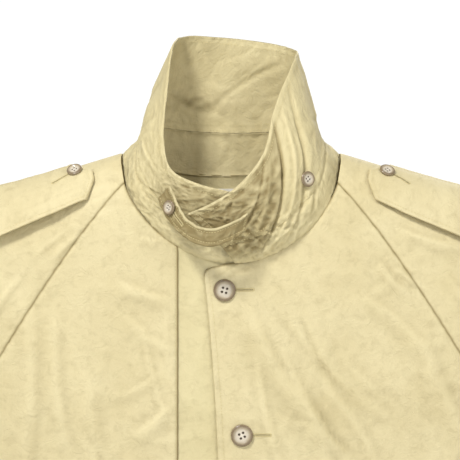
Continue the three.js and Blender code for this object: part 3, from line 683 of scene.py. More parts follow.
def pearl_material(name):
    """Smoky shell: pale clouded middle, brown rim."""
    material, tree, shader = node_material(name)
    swirl = noise_node(tree, attribute(tree, "cloth_at", "Vector"), 120, 3, 0.6, 2.2)
    shift = math_node(tree, "MULTIPLY", math_node(tree, "SUBTRACT", swirl, 0.5), 0.22)
    share = math_node(tree, "ADD", attribute(tree, "radius_share"), shift)
    shell_tone = ramp(tree, share, [
        (0.0, rgba(220, 211, 194)),
        (0.5, rgba(206, 195, 174)),
        (0.68, rgba(172, 157, 130)),
        (0.86, rgba(122, 104, 78)),
        (1.0, rgba(142, 125, 98)),
    ])
    feed(tree, shader, {
        # painted shade: the four hole dips are coloured dark brown for the darkness inside the holes
        "Base Color": mix_colour(tree, attribute(tree, "pit"), shell_tone, rgba(84, 68, 48)),
        "Roughness": ramp(tree, swirl, [(0.3, 0.2), (0.7, 0.34)]),
        "Coat Weight": 0.25,
        "Coat Roughness": 0.12,
    })
    return material


# brown for the dust specks, and for the painted shade of the tone attribute
STAIN_AND_SHADE = rgba(140, 124, 82)
shell_cloth = fabric("shell_cloth", rgba(225, 212, 168), rgba(213, 199, 154), STAIN_AND_SHADE, crinkle=1.5)
collar_cloth = fabric("collar_cloth", rgba(224, 211, 165), rgba(209, 195, 148), STAIN_AND_SHADE, crinkle=1.5)
inner_cloth = fabric("inner_cloth", rgba(223, 211, 165), rgba(212, 199, 152), STAIN_AND_SHADE)
label_cloth = fabric("label_cloth", rgba(243, 240, 230), rgba(234, 230, 218), rgba(190, 180, 155), 0.4)
thread = thread_material("thread", rgba(214, 199, 146))
# dark strip laid in buttonhole slits: painted shade inside the cut
dark_gap = thread_material("buttonhole_dark", rgba(96, 76, 40))
pearl = pearl_material("smoky_pearl")

# ---- panels

NEAR = np.array([0, 0.7, 1.6, 2.8, 4.4, 6.2, 7.6, 8.6, 10.5, 13.5])


def places(length, count):
    """Offsets along rows of the given lengths: close together at both ends, even between."""
    length = np.atleast_1d(np.asarray(length, float))[:, None]
    near = NEAR * np.minimum(1, length / (3 * NEAR[-1]))
    t = np.linspace(0, 1, count + 2)[None, 1:-1]
    middle = near[:, -1:] + (length - 2 * near[:, -1:]) * t
    return np.hstack([near, middle, length - near[:, ::-1]])


def row_places(length, fine_to, fine, coarse):
    """Offsets down a panel: fine near the collar, coarser below."""
    near = NEAR * min(1, length / (4 * NEAR[-1]))
    middle = [near[-1] + fine]
    while middle[-1] < length - near[-1] - coarse:
        middle.append(middle[-1] + (fine if middle[-1] < fine_to else coarse))
    return np.r_[near, middle[:-1] or middle, length - near[::-1]]


def straight_edges(a, b, c, d):
    """Top, bottom, start and end of a piece with corners a, b above and c, d below."""
    return line(a, b), line(c, d), line(a, c), line(b, d)


def patch(top, bottom, start, end, columns, rows):
    """A grid of (x, z) filling four edges. rows are shares down."""
    v = np.asarray(rows)
    a, b = start(v), end(v)
    width = np.maximum(np.linalg.norm(a - b, axis=1), 2)
    u = places(width, columns) / width[:, None]
    vv = np.repeat(v[:, None], u.shape[1], 1)
    ruled = lerp(top(u), bottom(u), vv[..., None]) + lerp(start(vv), end(vv), u[..., None])
    corners = lerp(
        lerp(top(0.0), top(1.0), u[..., None]), lerp(bottom(0.0), bottom(1.0), u[..., None]), vv[..., None]
    )
    return ruled - corners, u


def cavity(height, reach=3):
    """How far each point stands over the cloth round it, in mm."""
    soft = height
    for axis in (0, 1):
        wide = np.pad(soft, [(reach + 1, reach) if k == axis else (0, 0) for k in (0, 1)], mode="edge")
        run = np.cumsum(wide, axis)
        last = np.take(run, range(2 * reach + 1, run.shape[axis]), axis)
        soft = (last - np.take(run, range(run.shape[axis] - 2 * reach - 1), axis)) / (2 * reach + 1)
    return height - soft


def painted_crease_tone(height, depth, reach=3, base=0.93, painted_shade=0.34):
    """Tone of the cloth: painted shade in the valleys, painted highlight on the ridges."""
    stand = cavity(height, reach)
    ridge_light, valley_shade = np.tanh(stand / depth), np.tanh(np.maximum(-stand, 0) / depth)
    return np.clip(base + 0.12 * ridge_light - painted_shade * valley_shade, 0, 1)


SEAM = ("seam", ())


def free(*rows):
    """A finished edge, with rows of stitches at these distances in from it."""
    return "free", rows


def seam_effect(d, arc, kind, rows, seed):
    """Valley and puckers of a seam, or the pressed edge and stitch grooves of a finished edge."""
    out = np.zeros_like(d)
    ripple = noise(arc / 7.5 + seed, d / 16 + seed) + 0.6 * noise(arc / 3.6 - seed, d / 10)
    if kind == "seam":
        out = out - 1.2 * hump(d, 0, 2.0) + 0.95 * ripple * np.exp(-d / 12)
    if kind == "free":
        out = out + 0.45 * ripple * np.exp(-d / 10)
    for row in rows:
        out = out - 0.42 * hump(d, row, 1.1) * (0.8 + 0.5 * ripple)
        out = out + 0.3 * hump(d, row * 0.45, row * 0.4)
    return out


def panel(
    name, grid, side, material, lift=0.0, thick=CLOTH, mirror=False, edges=None, own=0.0, painted_shade=0.0
):
    """A cloth panel laid over the coat's front or back.

    edges is {edge: (kind, stitch rows)}, own is the height of small creases of its own.
    """
    x, z = grid[..., 0], grid[..., 1]
    sign = -1 if mirror else 1
    p, n = on_face(x, z, side)
    height = lift + relief(x * sign, z, side)
    height = height + own * creased(x * sign, z, 15, 4.4)
    for k, (edge, (kind, rows)) in enumerate(sorted((edges or {}).items())):
        d = inset(p, edge)
        arc = z if edge in ("start", "end") else x
        effect = seam_effect(d, arc * 1.15 + 40 * k, kind, rows, k * 3.7 + len(name) * 0.31 + sign)
        height = height + effect * smooth(to_outline(x, z), -4, 3)
        if kind == "seam":
            # painted shade: a thin dark line along each seam stands in for the shade in the seam's valley
            painted_shade = painted_shade + 0.7 * hump(d, 0, 1.1) * smooth(to_outline(x, z), 2, 8)
    p = p + n * np.asarray(height)[..., None]
    if mirror:
        p, n = p * [-1, 1, 1], n * [-1, 1, 1]
    # painted shade in the creases and painted highlight on the ridges, less the painted shade of seam lines
    # and slit
    tone = np.clip(painted_crease_tone(np.broadcast_to(height, x.shape), 1.8, 2, 0.93, 0.26) - painted_shade, 0, 1)
    shell = Shell(name, p, n, thick, material, grid * [sign, 1], tone=tone)
    shell.size = (float(np.ptp(x)), float(np.ptp(z)))
    return shell


# ---- fronts, facings and the button stand

FRONT_EDGES = {"start": free(7.5), "end": SEAM, "top": SEAM}


def left_taper(u):
    return (CLOTH + LAYER_GAP) * (1 - smooth(u, 0.35, 0.9))


def hem_rows(length, fine_to=330, fine=3.4, coarse=7.5):
    return row_places(length, fine_to, fine, coarse) / length


z_edge = np.linspace(FRONT_TOP_Z - 1, HEM_Z, 80)
left_top = np.vstack([
    [(-27, -103), (-26.2, -99.6), (-24, -97), (-20, -95.2), (-12, -93.6), (-4, -91.8)],
    front_neck(6, FRONT_RAGLAN_X),
])
left_grid, left_u = patch(
    along(left_top),
    line((float(front_edge_x(HEM_Z)), HEM_Z), HEM),
    along(np.c_[front_edge_x(z_edge), z_edge]),
    along(np.vstack([front_raglan, [HEM]])),
    70,
    hem_rows(950),
)
left_front = panel(
    "left_front_cloth", left_grid, -1, shell_cloth,
    lift=left_taper(left_u), edges={**FRONT_EDGES, "bottom": free(HEM_STITCH)}, own=0.15,
)

right_grid, _ = patch(
    along(front_neck(-SLIT_X, FRONT_RAGLAN_X)),
    line((-SLIT_X, HEM_Z), HEM),
    line((-SLIT_X, float(front_neck(-SLIT_X, -SLIT_X, 1)[0, 1])), (-SLIT_X, HEM_Z)),
    along(np.vstack([front_raglan, [HEM]])),
    58,
    hem_rows(930),
)
right_front = panel(
    "right_front_cloth", right_grid, -1, shell_cloth, mirror=True,
    edges={**FRONT_EDGES, "start": free(2.5), "bottom": free(HEM_STITCH)}, own=0.15,
    # painted shadow in the slit between the right front and the button stand
    painted_shade=0.9 * hump(right_grid[..., 0], -SLIT_X, 1.6),
)

stand_x = (SLIT_X - 26, 48)
neck_z = [float(front_neck(x, x, 1)[0, 1]) for x in stand_x]
stand_grid, _ = patch(
    along(front_neck(*stand_x)),
    line((stand_x[0], HEM_Z), (stand_x[1], HEM_Z)),
    line((stand_x[0], neck_z[0]), (stand_x[0], HEM_Z)),
    line((stand_x[1], neck_z[1]), (stand_x[1], HEM_Z)),
    16,
    hem_rows(900),
)
button_stand = panel(
    "button_stand_cloth", stand_grid, -1, inner_cloth, lift=-CLOTH - LAYER_GAP,
    edges={"start": free(), "end": free()},
)

FACING_WIDTH = 70
z_face = np.linspace(FRONT_TOP_Z - 8, HEM_Z + 2, 60)
face_x, hem_x = front_edge_x(z_face), float(front_edge_x(HEM_Z))
facing_grid, _ = patch(
    line((face_x[0] + 2, z_face[0]), (face_x[0] + FACING_WIDTH, z_face[0])),
    line((hem_x + 2, HEM_Z + 2), (hem_x + FACING_WIDTH, HEM_Z + 2)),
    along(np.c_[face_x + 2, z_face]),
    along(np.c_[face_x + FACING_WIDTH, z_face]),
    8,
    hem_rows(860),
)
left_facing = panel("left_facing_cloth", facing_grid, -1, inner_cloth, lift=-0.15, thick=1.2)

# ---- backs

back_pieces = []
for mirror in (False, True):
    grid, _ = patch(
        along(back_neck(SEAM_GAP / 2, BACK_RAGLAN_X)),
        line((SEAM_GAP / 2, HEM_Z), HEM),
        line((SEAM_GAP / 2, -1), (SEAM_GAP / 2, HEM_Z)),
        along(np.vstack([back_raglan, [HEM]])),
        62,
        hem_rows(960, 260, 4.5, 8),
    )
    back_pieces.append(panel(
        "right_back_cloth" if mirror else "left_back_cloth", grid, 1, shell_cloth, mirror=mirror,
        edges={**dict.fromkeys(("start", "end", "top"), SEAM), "bottom": free(HEM_STITCH)},
    ))

# ---- sleeves


def on_sleeve(s, w):
    inner = lerp(np.array(ARMPIT, float), CUFF_IN, s)
    outer = lerp(BICEP, CUFF_OUT, s)
    return lerp(inner, outer, w)


UPPER_ARM = 470
LOWER_ARM = (1 - ELBOW) * UNDERARM
elbow_in, elbow_out = on_sleeve(ELBOW, 0), on_sleeve(ELBOW, 1)
sleeves = {}
for mirror in (False, True):
    for side in (-1, 1):
        word = ("right" if mirror else "left") + ("_sleeve_front" if side < 0 else "_sleeve_back")
        seam = front_raglan if side < 0 else back_raglan
        if side < 0:
            neck = np.vstack([[NECK_POINT, (NECK_HALF_WIDTH, 14)], front_raglan[:1]])
        else:
            neck = back_neck(NECK_HALF_WIDTH, BACK_RAGLAN_X)
        columns = 44
        upper, _ = patch(
            along(neck),
            line(elbow_out, elbow_in),
            along(np.vstack([ridge, [elbow_out]])),
            along(np.vstack([seam, [elbow_in]])),
            columns,
            np.r_[NEAR[:-1] / UPPER_ARM, np.linspace(NEAR[-1], UPPER_ARM, 100) / UPPER_ARM],
        )
        lower, _ = patch(
            *straight_edges(elbow_out, elbow_in, CUFF_OUT, CUFF_IN), columns,
            np.r_[np.linspace(0, LOWER_ARM - NEAR[-1], 60), LOWER_ARM - NEAR[-2::-1]] / LOWER_ARM,
        )
        sleeves[word] = panel(
            word + "_cloth", np.vstack([upper, lower[1:]]), side, shell_cloth, mirror=mirror,
            edges={"end": SEAM, "start": SEAM, "bottom": free(CUFF_STITCH)},
        )

# ---- collar


def net(rows):
    return np.array(rows, float).reshape(-1, 4, 3)


# four points up the collar at each station, from its right front end round the neck to its left one
COLLAR = net([
    [22, -46, -83], [22, -56, -66], [22, -62, -44], [21, -64, -24],
    [-14, -46, -87], [-12, -58, -66], [-8, -64, -42], [-6, -66, -18],
    [-52, -45, -73], [-48, -57, -52], [-42, -64, -32], [-36, -66, -10],
    [-84, -43, -47], [-78, -52, -30], [-70, -58, -14], [-60, -60, 3],
    [-104, -36, -20], [-95, -43, -4], [-82, -46, 16], [-68, -52, 30],
    [-111, -18, 8], [-97, -23, 22], [-84, -28, 50], [-64, -42, 80],
    [-111, 2, 24], [-92, 4, 38], [-82, 4, 76], [-59, -10, 122],
    [-90, 30, 15], [-78, 33, 46], [-72, 33, 90], [-46, 28, 134],
    [-45, 43, 4], [-44, 46, 43], [-40, 48, 88], [-12, 42, 134],
    [0, 44, 2], [0, 48, 41], [2, 50, 88], [20, 42, 131],
    [45, 43, 4], [44, 46, 42], [44, 46, 88], [50, 36, 126],
    [90, 30, 15], [80, 32, 42], [76, 29, 80], [67, 18, 120],
    [111, 2, 24], [90, 2, 37], [83, -4, 66], [66, -12, 112],
    [111, -18, 8], [96, -27, 22], [82, -38, 46], [57, -35, 92],
    [101, -40, -26], [90, -50, -8], [72, -60, 22], [43, -60, 58],
    [78, -48, -55], [70, -62, -34], [54, -72, -6], [32, -72, 17],
    [50, -50, -75], [43, -66, -56], [28, -76, -30], [6, -78, -14],
    [26, -51, -85], [16, -68, -68], [-3, -77, -46], [-20, -79, -31],
    [5, -52, -88], [-8, -69, -75], [-26, -76, -56], [-43, -76, -41],
])
NET_HEIGHT = 133
COLLAR_SINK = 3.2  # how far the collar's base runs in behind the neck seam
above = np.array(COLLAR[:, 1:, 2])
COLLAR[:, 1:, 2] = np.where(above > 0, above * COLLAR_HEIGHT / NET_HEIGHT, above)
COLLAR[:, 0, 2] -= COLLAR_SINK
SPARE = (0.8, 0.48)
STAND = 1 / 3
STATIONS = len(COLLAR) - 1


def collar_at(u, v):
    u, v = np.broadcast_arrays(np.asarray(u, float), np.asarray(v, float))
    rows = [curve_at(COLLAR[:, k], u) for k in range(4)]
    ext = [2 * rows[0] - rows[1], *rows, 2 * rows[3] - rows[2]]
    stack = np.stack(ext, 0)
    at = np.clip(v, 0, 1) * 3
    i = np.minimum(at.astype(int), 2)

    def pick(k):
        return np.take_along_axis(stack, (i + k)[None, ..., None], 0)[0]

    return hermite(pick(0), pick(1), pick(2), pick(3), at - i)


def collar_normal(u, v):
    h = 0.004
    across = collar_at(np.minimum(u + h, 1), v) - collar_at(np.maximum(u - h, 0), v)
    up = collar_at(u, np.minimum(v + h, 1)) - collar_at(u, np.maximum(v - h, 0))
    return unit(np.cross(up, across))


# folds of the collar: from (station, share up) to (station, share up), width, height, bend
COLLAR_FOLDS = [
    ((14.2, 1.0), (16.9, 0.06), 2.4, -4.4, 2),
    ((15.0, 1.0), (17.1, 0.42), 2.2, -2.8, 2),
    ((14.75, 1.0), (16.9, 0.3), 3.0, 2.0, 2),
    ((16.4, 0.1), (17.3, 0.7), 2.6, -1.8, -3),
    ((15.9, 0.25), (16.9, 0.55), 2.4, 1.7, 2),
    ((15.2, 0.2), (16.6, 0.45), 2.2, -1.5, 2),
    ((13.1, 1.0), (16.0, 0.0), 4.5, -3.4, 3),
    ((13.6, 1.0), (16.4, 0.1), 4.0, 2.4, 4),
    ((14.1, 1.0), (15.4, 0.55), 3.6, -2.6, -2),
    ((15.0, 0.95), (17.4, 0.45), 3.6, 1.8, 3),
    ((15.2, 0.7), (17.6, 0.3), 3.2, -1.6, -2),
    ((15.4, 0.55), (17.8, 0.12), 3.4, 1.6, 2),
    ((14.6, 0.3), (17.0, 0.1), 3.6, 1.4, -2),
    ((14.9, 0.85), (16.9, 0.9), 3.2, 1.3, 1),
    ((16.2, 0.95), (17.8, 0.6), 3.0, -1.4, 2),
    ((14.2, 0.38), (14.9, 0.12), 3.4, -1.6, 0),
    ((15.3, 0.12), (15.9, 0.3), 3.0, 1.5, 0),
    ((7.0, 0.62), (8.8, 0.46), 4.5, 1.9, 4),
    ((7.4, 0.5), (8.6, 0.6), 3.5, -1.5, -2),
    ((8.2, 0.38), (10.6, 0.9), 5.0, 1.6, -8),
    ((9.6, 0.55), (10.9, 0.66), 3.0, 1.1, 0),
    ((6.4, 0.98), (7.3, 0.72), 4.0, 1.6, 2),
    ((6.8, 1.0), (7.7, 0.8), 3.5, -1.3, 0),
    ((7.3, 1.0), (8.1, 0.84), 3.2, 1.2, 0),
    ((3.2, 0.8), (5.0, 0.5), 4.5, 1.7, 3),
    ((2.2, 0.75), (4.2, 0.28), 4.0, -1.5, 3),
    ((1.4, 0.9), (3.2, 0.45), 3.5, 1.3, -2),
    ((4.6, 0.9), (5.6, 0.2), 5.0, 1.4, 3),
    ((5.4, 0.95), (6.2, 0.35), 5.0, -1.3, -2),
    ((11.6, 0.95), (12.6, 0.45), 6.0, 1.5, 3),
    ((11.2, 0.4), (12.9, 0.7), 5.0, -1.0, 2),
]
STATION_MM = 38  # about, between stations
HEIGHT_MM = 128  # about, up the collar
COLLAR_LENGTH = 690
HALF_JOIN = 0.003  # share of the height left free at each side of the seam


def collar_relief(u, v):
    x, y = u * STATIONS * STATION_MM, v * HEIGHT_MM
    total = np.zeros_like(x)
    for (s0, v0), (s1, v1), width, height, bend in COLLAR_FOLDS:
        a, b = (s0 * STATION_MM, v0 * HEIGHT_MM), (s1 * STATION_MM, v1 * HEIGHT_MM)
        total = total + stroke(x, y, a, b, width, height, bend, steep=0.5)
    station = u * STATIONS
    rough = 0.12 + 0.95 * hump(station, 16.6, 1.5) + 0.65 * hump(station, 2.2, 1.9)
    rough = rough + 0.35 * hump(station, 7.8, 0.9) * hump(v, 0.55, 0.12)
    total = total + rough * (1.9 * creased(x, y, 17, 6.1) + 1.1 * creased(x * 0.7, y, 8.5, 2.2))
    total = total + 0.9 * creased(x, y, 34, 1.3) + 0.9 * noise(x / 46, y / 40)
    return total * smooth(v, 0.0, 0.09)


def collar_piece(name, v0, v1, rows, edges):
    columns = 400
    u = np.linspace(0, 1, columns)
    near = np.array([0, 0.6, 1.4, 2.6, 4.2])
    span = (v1 - v0) * HEIGHT_MM
    v = np.r_[near, np.linspace(near[-1], span - near[-1], rows)[1:-1], span - near[::-1]] / span
    v = lerp(v0, v1, v)
    uu, vv = np.meshgrid(u, v)
    p, n = collar_at(uu, vv), collar_normal(uu, vv)
    height = collar_relief(uu, vv)
    for k, (edge, (kind, at)) in enumerate(sorted(edges.items())):
        arc = uu * COLLAR_LENGTH if edge in ("top", "bottom") else vv * HEIGHT_MM
        height = height + seam_effect(inset(p, edge), arc, kind, at, k * 2.3 + 5)
    p = p + n * (height + COLLAR_CLOTH / 2)[..., None]
    # painted shade in the collar's creases, painted highlight on its ridges
    tone = painted_crease_tone(height, 1.3, 3, 0.93, 0.3)
    station, open_top = uu * STATIONS, 1 - smooth(vv, 0.965, 0.985)
    blot = hump(station, 8.1, 1.0) * hump(vv, 0.54, 0.07)
    tone = tone - 0.55 * blot * (0.6 + 0.5 * noise(uu * 90, vv * 16))
    tone = tone - 0.22 * hump(station, 9.9, 0.5) * hump(vv, 0.53, 0.04)
    mottled = 0.8 + 0.5 * noise(uu * 60, vv * 12)
    # painted shade over the collar's front beyond the pleat line; the rolled top edge is left out of it
    # (open_top) and so stays light, a painted lit edge
    pleat = 14.0 + 2.9 * (1 - vv)
    front = smooth(station - pleat, -0.15, 0.4) * open_top * mottled
    tone = tone - 0.72 * front * smooth(vv, 0.02, 0.25)
    # painted shade in the hollow under the throat tab
    tone = tone - 0.42 * hump(station, 17.6, 0.8) * hump(vv, 0.62, 0.26)
    # painted shade on a crinkled band near the collar's right front end, beside the tab
    band = hump(station, 1.6, 1.9) * smooth(vv, 0.3, 0.55)
    tone = tone - 0.68 * band * open_top * mottled
    cloth = np.stack([uu * COLLAR_LENGTH, vv * HEIGHT_MM], -1)
    shell = Shell(name, p, n, COLLAR_CLOTH, collar_cloth, cloth, tone=np.clip(tone, 0, 1))
    shell.size = (COLLAR_LENGTH, span)
    return shell


collar_stand = collar_piece(
    "collar_stand_cloth", 0, STAND - HALF_JOIN, 18,
    {"bottom": SEAM, "top": SEAM, "start": free(), "end": free()},
)
collar_fall = collar_piece(
    "collar_fall_cloth", STAND + HALF_JOIN, 1, 40,
    {"top": ("seam", [2.4, 8]), "bottom": free(6.5), "start": free(6.5), "end": free(6.5)},
)

# ---- throat tab

TAB_LENGTH = 118
TAB_STITCH = 3.6
TAB_LINE = [
    (15, -84.5, -49), (8, -89, -54), (-4, -94, -60), (-18, -96, -64.5), (-32, -94, -62.5),
    (-44, -87, -56), (-53, -79, -46), (-60.5, -72, -34), (-67, -66, -19),
]
TAB_RISE = [(0.1, 0, 1), (0.05, -0.1, 1), (0.25, -0.25, 0.93), (0.6, -0.5, 0.62)]


def tab_frame(t):
    centre = curve_at(TAB_LINE, t)
    tangent = curve_at(TAB_LINE, np.minimum(t + 0.002, 1)) - curve_at(TAB_LINE, np.maximum(t - 0.002, 0))
    tangent = unit(tangent)
    rise = unit(curve_at(TAB_RISE, t))
    out = unit(np.cross(rise, tangent))
    out = out * np.where(out[..., 1:2] < 0, 1, -1)
    return centre, rise, out, tangent


tab_t = np.r_[0, 0.006, 0.015, np.linspace(0.03, 0.97, 84), 0.985, 0.994, 1]
tab_w = np.r_[-1, -0.94, -0.86, -0.74, np.linspace(-0.6, 0.6, 9), 0.74, 0.86, 0.94, 1]
tt, ww = np.meshgrid(tab_t, tab_w)
centre, rise, out, tangent = tab_frame(tt)
half = (17 + 4 * smooth(tt, 0.6, 0.9)) / 2
corner = np.sqrt(np.clip(1 - np.clip((tt - 0.955) / 0.05, 0, 1) ** 2 * 0.35, 0, 1))
edge_d = (1 - np.abs(ww)) * half
tab_height = 0.35 * hump(edge_d, 1.5, 1.6) - 0.5 * hump(edge_d, TAB_STITCH, 0.8)
tab_height = tab_height + 1.3 * creased(tt * TAB_LENGTH, ww * half, 13, 3.1)
tab_height = tab_height + 0.5 * noise(tt * 16, ww * 1.2)
tab_p = centre + rise * (ww * half * corner)[..., None] + out * (tab_height + 1.05)[..., None]
# painted shade: the tab is drawn almost wholly in the dark brown, with painted crease shade
tab_tone = painted_crease_tone(tab_height, 0.5, 2, 0.05) - 0.2 * noise(tt * 9, ww * 2)
# painted highlight along the tab's upper edge
tab_tone = np.clip(tab_tone + 0.75 * smooth(ww, 0.78, 0.93), 0, 1)
tab_cloth = np.stack([tt * TAB_LENGTH, ww * half], -1)
throat_tab = Shell("throat_tab_cloth", tab_p, out, 2.1, collar_cloth, tab_cloth, tone=tab_tone)
throat_tab.size = (TAB_LENGTH, 20)

# ---- shoulder straps

STRAP_BUTTON = (158, -1)
strap_top = [(x, float(np.interp(x, ridge[:, 0], ridge[:, 1])) - 0.6) for x in np.linspace(163, 290, 14)]
strap_low = [(146, -27), (175, -41), (231, -64), (288, -90)]
straps = {}
for mirror in (False, True):
    word = "right" if mirror else "left"
    grid, u = patch(
        along([strap_top[0], (141, 2), (139, -8), strap_low[0]]),
        line(strap_top[-1], strap_low[-1]),
        along(strap_top),
        along(strap_low),
        22,
        np.r_[NEAR / 128, np.linspace(NEAR[-1] + 2.5, 128, 48) / 128],
    )
    v = np.linspace(0, 1, len(grid))[:, None]
    straps[word] = panel(
        f"{word}_shoulder_strap_cloth", grid, -1, shell_cloth, thick=2.2, mirror=mirror,
        lift=4.2 + (9.0 if mirror else 5.0) * u * np.sin(math.pi * v) ** 0.7, own=0.35,
        edges=dict.fromkeys(("start", "end", "top"), free(STITCH_IN)),
    )

# ---- cuff tabs, pocket welts and bags

CUFF_TAB = (0.74, 0.84)  # shares down the underarm
TAB_ACROSS = (0.214, 0.72)  # shares across the sleeve
POCKET_SLANT = math.radians(15)
POCKET_AT = (152, -560)
cuff_tabs, welts, bags = {}, {}, {}
welt_down = np.array([math.sin(POCKET_SLANT), -math.cos(POCKET_SLANT)])
welt_across = np.array([-welt_down[1], welt_down[0]])


def corner_at(across, down):
    return np.array(POCKET_AT) + welt_across * across + welt_down * down


for mirror in (False, True):
    word = "right" if mirror else "left"
    (s0, s1), (w0, w1) = CUFF_TAB, TAB_ACROSS
    grid, _ = patch(
        line(on_sleeve(s0, w0), on_sleeve(s0, w1)),
        line(on_sleeve(s1, w0), on_sleeve(s1, w1)),
        line(on_sleeve(s0, w0), on_sleeve(s1, w0)),
        along([on_sleeve(s0, w1), on_sleeve((s0 + s1) / 2, w1 + 0.07), on_sleeve(s1, w1)]),
        18,
        row_places(43, 30, 2.4, 3) / 43,
    )
    cuff_tabs[word] = panel(
        f"{word}_cuff_tab_cloth", grid, -1, shell_cloth, lift=2.9, mirror=mirror, own=0.1,
        edges=dict.fromkeys(("top", "bottom", "end"), free(STITCH_IN)),
    )
    base = 0 if mirror else CLOTH + LAYER_GAP
    for kind, (a0, a1, d0, d1), lift in (
        ("welt", (0, 44, 0, 168), base + CLOTH + LAYER_GAP),
        ("bag", (-24, 112, 8, 220), -CLOTH - 3),
    ):
        grid, _ = patch(
            *straight_edges(*(corner_at(a, d) for d in (d0, d1) for a in (a0, a1))),
            14 if kind == "welt" else 22,
            row_places(d1 - d0, 60, 4, 6) / (d1 - d0),
        )
        stitched = dict.fromkeys(("start", "top", "bottom", "end"), free(STITCH_IN))
        made = panel(
            f"{word}_pocket_{kind}_cloth", grid, -1, shell_cloth if kind == "welt" else inner_cloth,
            lift=lift, mirror=mirror, edges=stitched if kind == "welt" else None, own=0.2,
        )
        (welts if kind == "welt" else bags)[word] = made

# ---- back neck facing, label, hanger loop

facing_n = back_neck(-67, 67)
neck_grid, _ = patch(
    along(facing_n),
    along(np.c_[np.linspace(-60, 60, 30), -62 - 14 * np.sin(math.pi * np.linspace(0, 1, 30))]),
    line(facing_n[0], (-60, -62)),
    line(facing_n[-1], (60, -62)),
    28,
    row_places(68, 60, 3, 3) / 68,
)
neck_facing = panel(
    "back_neck_facing_cloth", neck_grid, 1, inner_cloth, lift=-CLOTH - LAYER_GAP - 0.3,
    edges={"bottom": free(STITCH_IN), "top": SEAM},
)
label_grid, _ = patch(
    *straight_edges((-23, -14), (23, -14), (-23, -44), (23, -44)), 10, row_places(30, 20, 2, 2) / 30
)
label = panel(
    "label_cloth_patch", label_grid, 1, label_cloth, lift=-2 * (CLOTH + LAYER_GAP) - 0.5, thick=0.6
)

loop_t = np.linspace(0, 1, 49)
LOOP = [(-32, 41.5, -16), (-19.2, 38.8, -19), (0, 38, -23), (19.2, 38.8, -19), (32, 41.5, -16)]
loop_line = curve_at(LOOP, loop_t)
loop_tan = unit(np.gradient(loop_line, axis=0))
loop_out = unit(np.cross(loop_tan, [0, 0, 1.0]))
loop_up = np.cross(loop_out, loop_tan)
loop_w = np.linspace(-1, 1, 7)
loop_p = loop_line[None] + loop_up[None] * (loop_w * 2.5)[:, None, None]
loop_p = loop_p + loop_out[None] * (0.6 + 0.25 * np.cos(loop_w * 2.4))[:, None, None]
hanger = Shell(
    "hanger_loop_cloth", loop_p, np.repeat(loop_out[None], 7, 0), 1.2, inner_cloth,
    np.stack(np.meshgrid(loop_t * 80, loop_w * 2.5), -1),
)

# ---- stitch rows and buttonholes


def sew(threads, shell, edge, offset, side="outer", keep=None, **how):
    points, normals = shell.row_of(edge, offset, side)
    if keep is not None:
        inside = keep(points)
        points, normals = points[inside], normals[inside]
    if len(points) > 2:
        threads.run(points, normals, **how)


def buttonhole(threads, gaps, shell, a, b):
    """A slit from a to b (points in space near the cloth), with close bars of thread round it."""
    a, b = np.array(a, float), np.array(b, float)
    n = shell.normal.reshape(-1, 3)[np.argmin(((shell.outer - (a + b) / 2) ** 2).sum(-1))]
    size = np.linalg.norm(b - a)
    d = (b - a) / size
    side = np.cross(d, n)
    at = np.arange(0, size + 0.01, 0.75)
    for sign in (-1, 1):
        centres = np.array([shell.hit(a + d * t + side * sign * 1.15, n) for t in at])
        threads.stitch(centres + n * 0.15, side, n, 1.9, 0.34)
    for end in (a - d * 0.7, b + d * 0.7):
        centres = np.array([shell.hit(end + side * o, n) for o in (-1.2, -0.4, 0.4, 1.2)])
        threads.stitch(centres + n * 0.15, d, n, 1.5, 0.34)
    t = np.arange(0, size + 0.01, 1.2)
    centres = np.array([shell.hit(a + d * k, n) for k in t])
    # painted shade: a dark strip along the slit stands in for the shade inside the cut
    gaps.stitch(centres + n * 0.02, d, n, 1.9, 0.3)


def near_face(x, z, mirror=False):
    """A point of the plain front face, and its normal."""
    p, n = on_face(np.array([float(x)]), np.array([float(z)]), -1)
    p, n = p[0], n[0]
    if mirror:
        p, n = p * [-1, 1, 1], n * [-1, 1, 1]
    return p, n


front_threads, coat_threads = Threads("left_front_stitches"), Threads("coat_stitches")
front_gaps = Threads("front_buttonhole_slits")
sew(front_threads, left_front, "start", 7.5)
sew(front_threads, left_front, "bottom", HEM_STITCH, pitch=COARSE)
for k, z in enumerate(BUTTON_Z):
    x = button_x(z)
    a, _ = near_face(x - 2, z)
    b, _ = near_face(x + 29, z + 0.6)
    buttonhole(front_threads, front_gaps, left_front, a, b)
sew(coat_threads, right_front, "start", 2.5, keep=lambda p: p[:, 2] < -70)
sew(coat_threads, right_front, "bottom", HEM_STITCH, pitch=COARSE)
for piece in back_pieces:
    sew(coat_threads, piece, "bottom", HEM_STITCH, pitch=COARSE)
for edge, rows in (("top", (2.4, 8)), ("bottom", (6.5,)), ("end", (6.5,))):
    for offset in rows:
        sew(coat_threads, collar_fall, edge, offset)
for offset in (2.4, 8):
    sew(coat_threads, collar_fall, "top", offset, side="inner")
sew(coat_threads, collar_fall, "bottom", 6.5, side="inner")
sew(coat_threads, neck_facing, "bottom", STITCH_IN, side="inner")

cuff_middle = sum(CUFF_TAB) / 2
FLAPS = (
    ("strap", straps, ("start", "end", "top"), {"start": 5}, ((154, 2), (180, -14))),
    ("cuff", cuff_tabs, ("top", "bottom", "end"), {},
     (on_sleeve(cuff_middle, 0.68), on_sleeve(cuff_middle, 0.54))),
)
flap_threads = {}
for kind, flaps, edges, how, slit in FLAPS:
    for word, shell in flaps.items():
        made, gaps = Threads(f"{word}_{kind}_stitches"), Threads(f"{word}_{kind}_slit")
        for edge in edges:
            sew(made, shell, edge, STITCH_IN, **how)
        a, b = (near_face(*place, mirror=word == "right")[0] for place in slit)
        buttonhole(made, gaps, shell, a, b)
        flap_threads[kind, word] = [(made, thread), (gaps, dark_gap)]

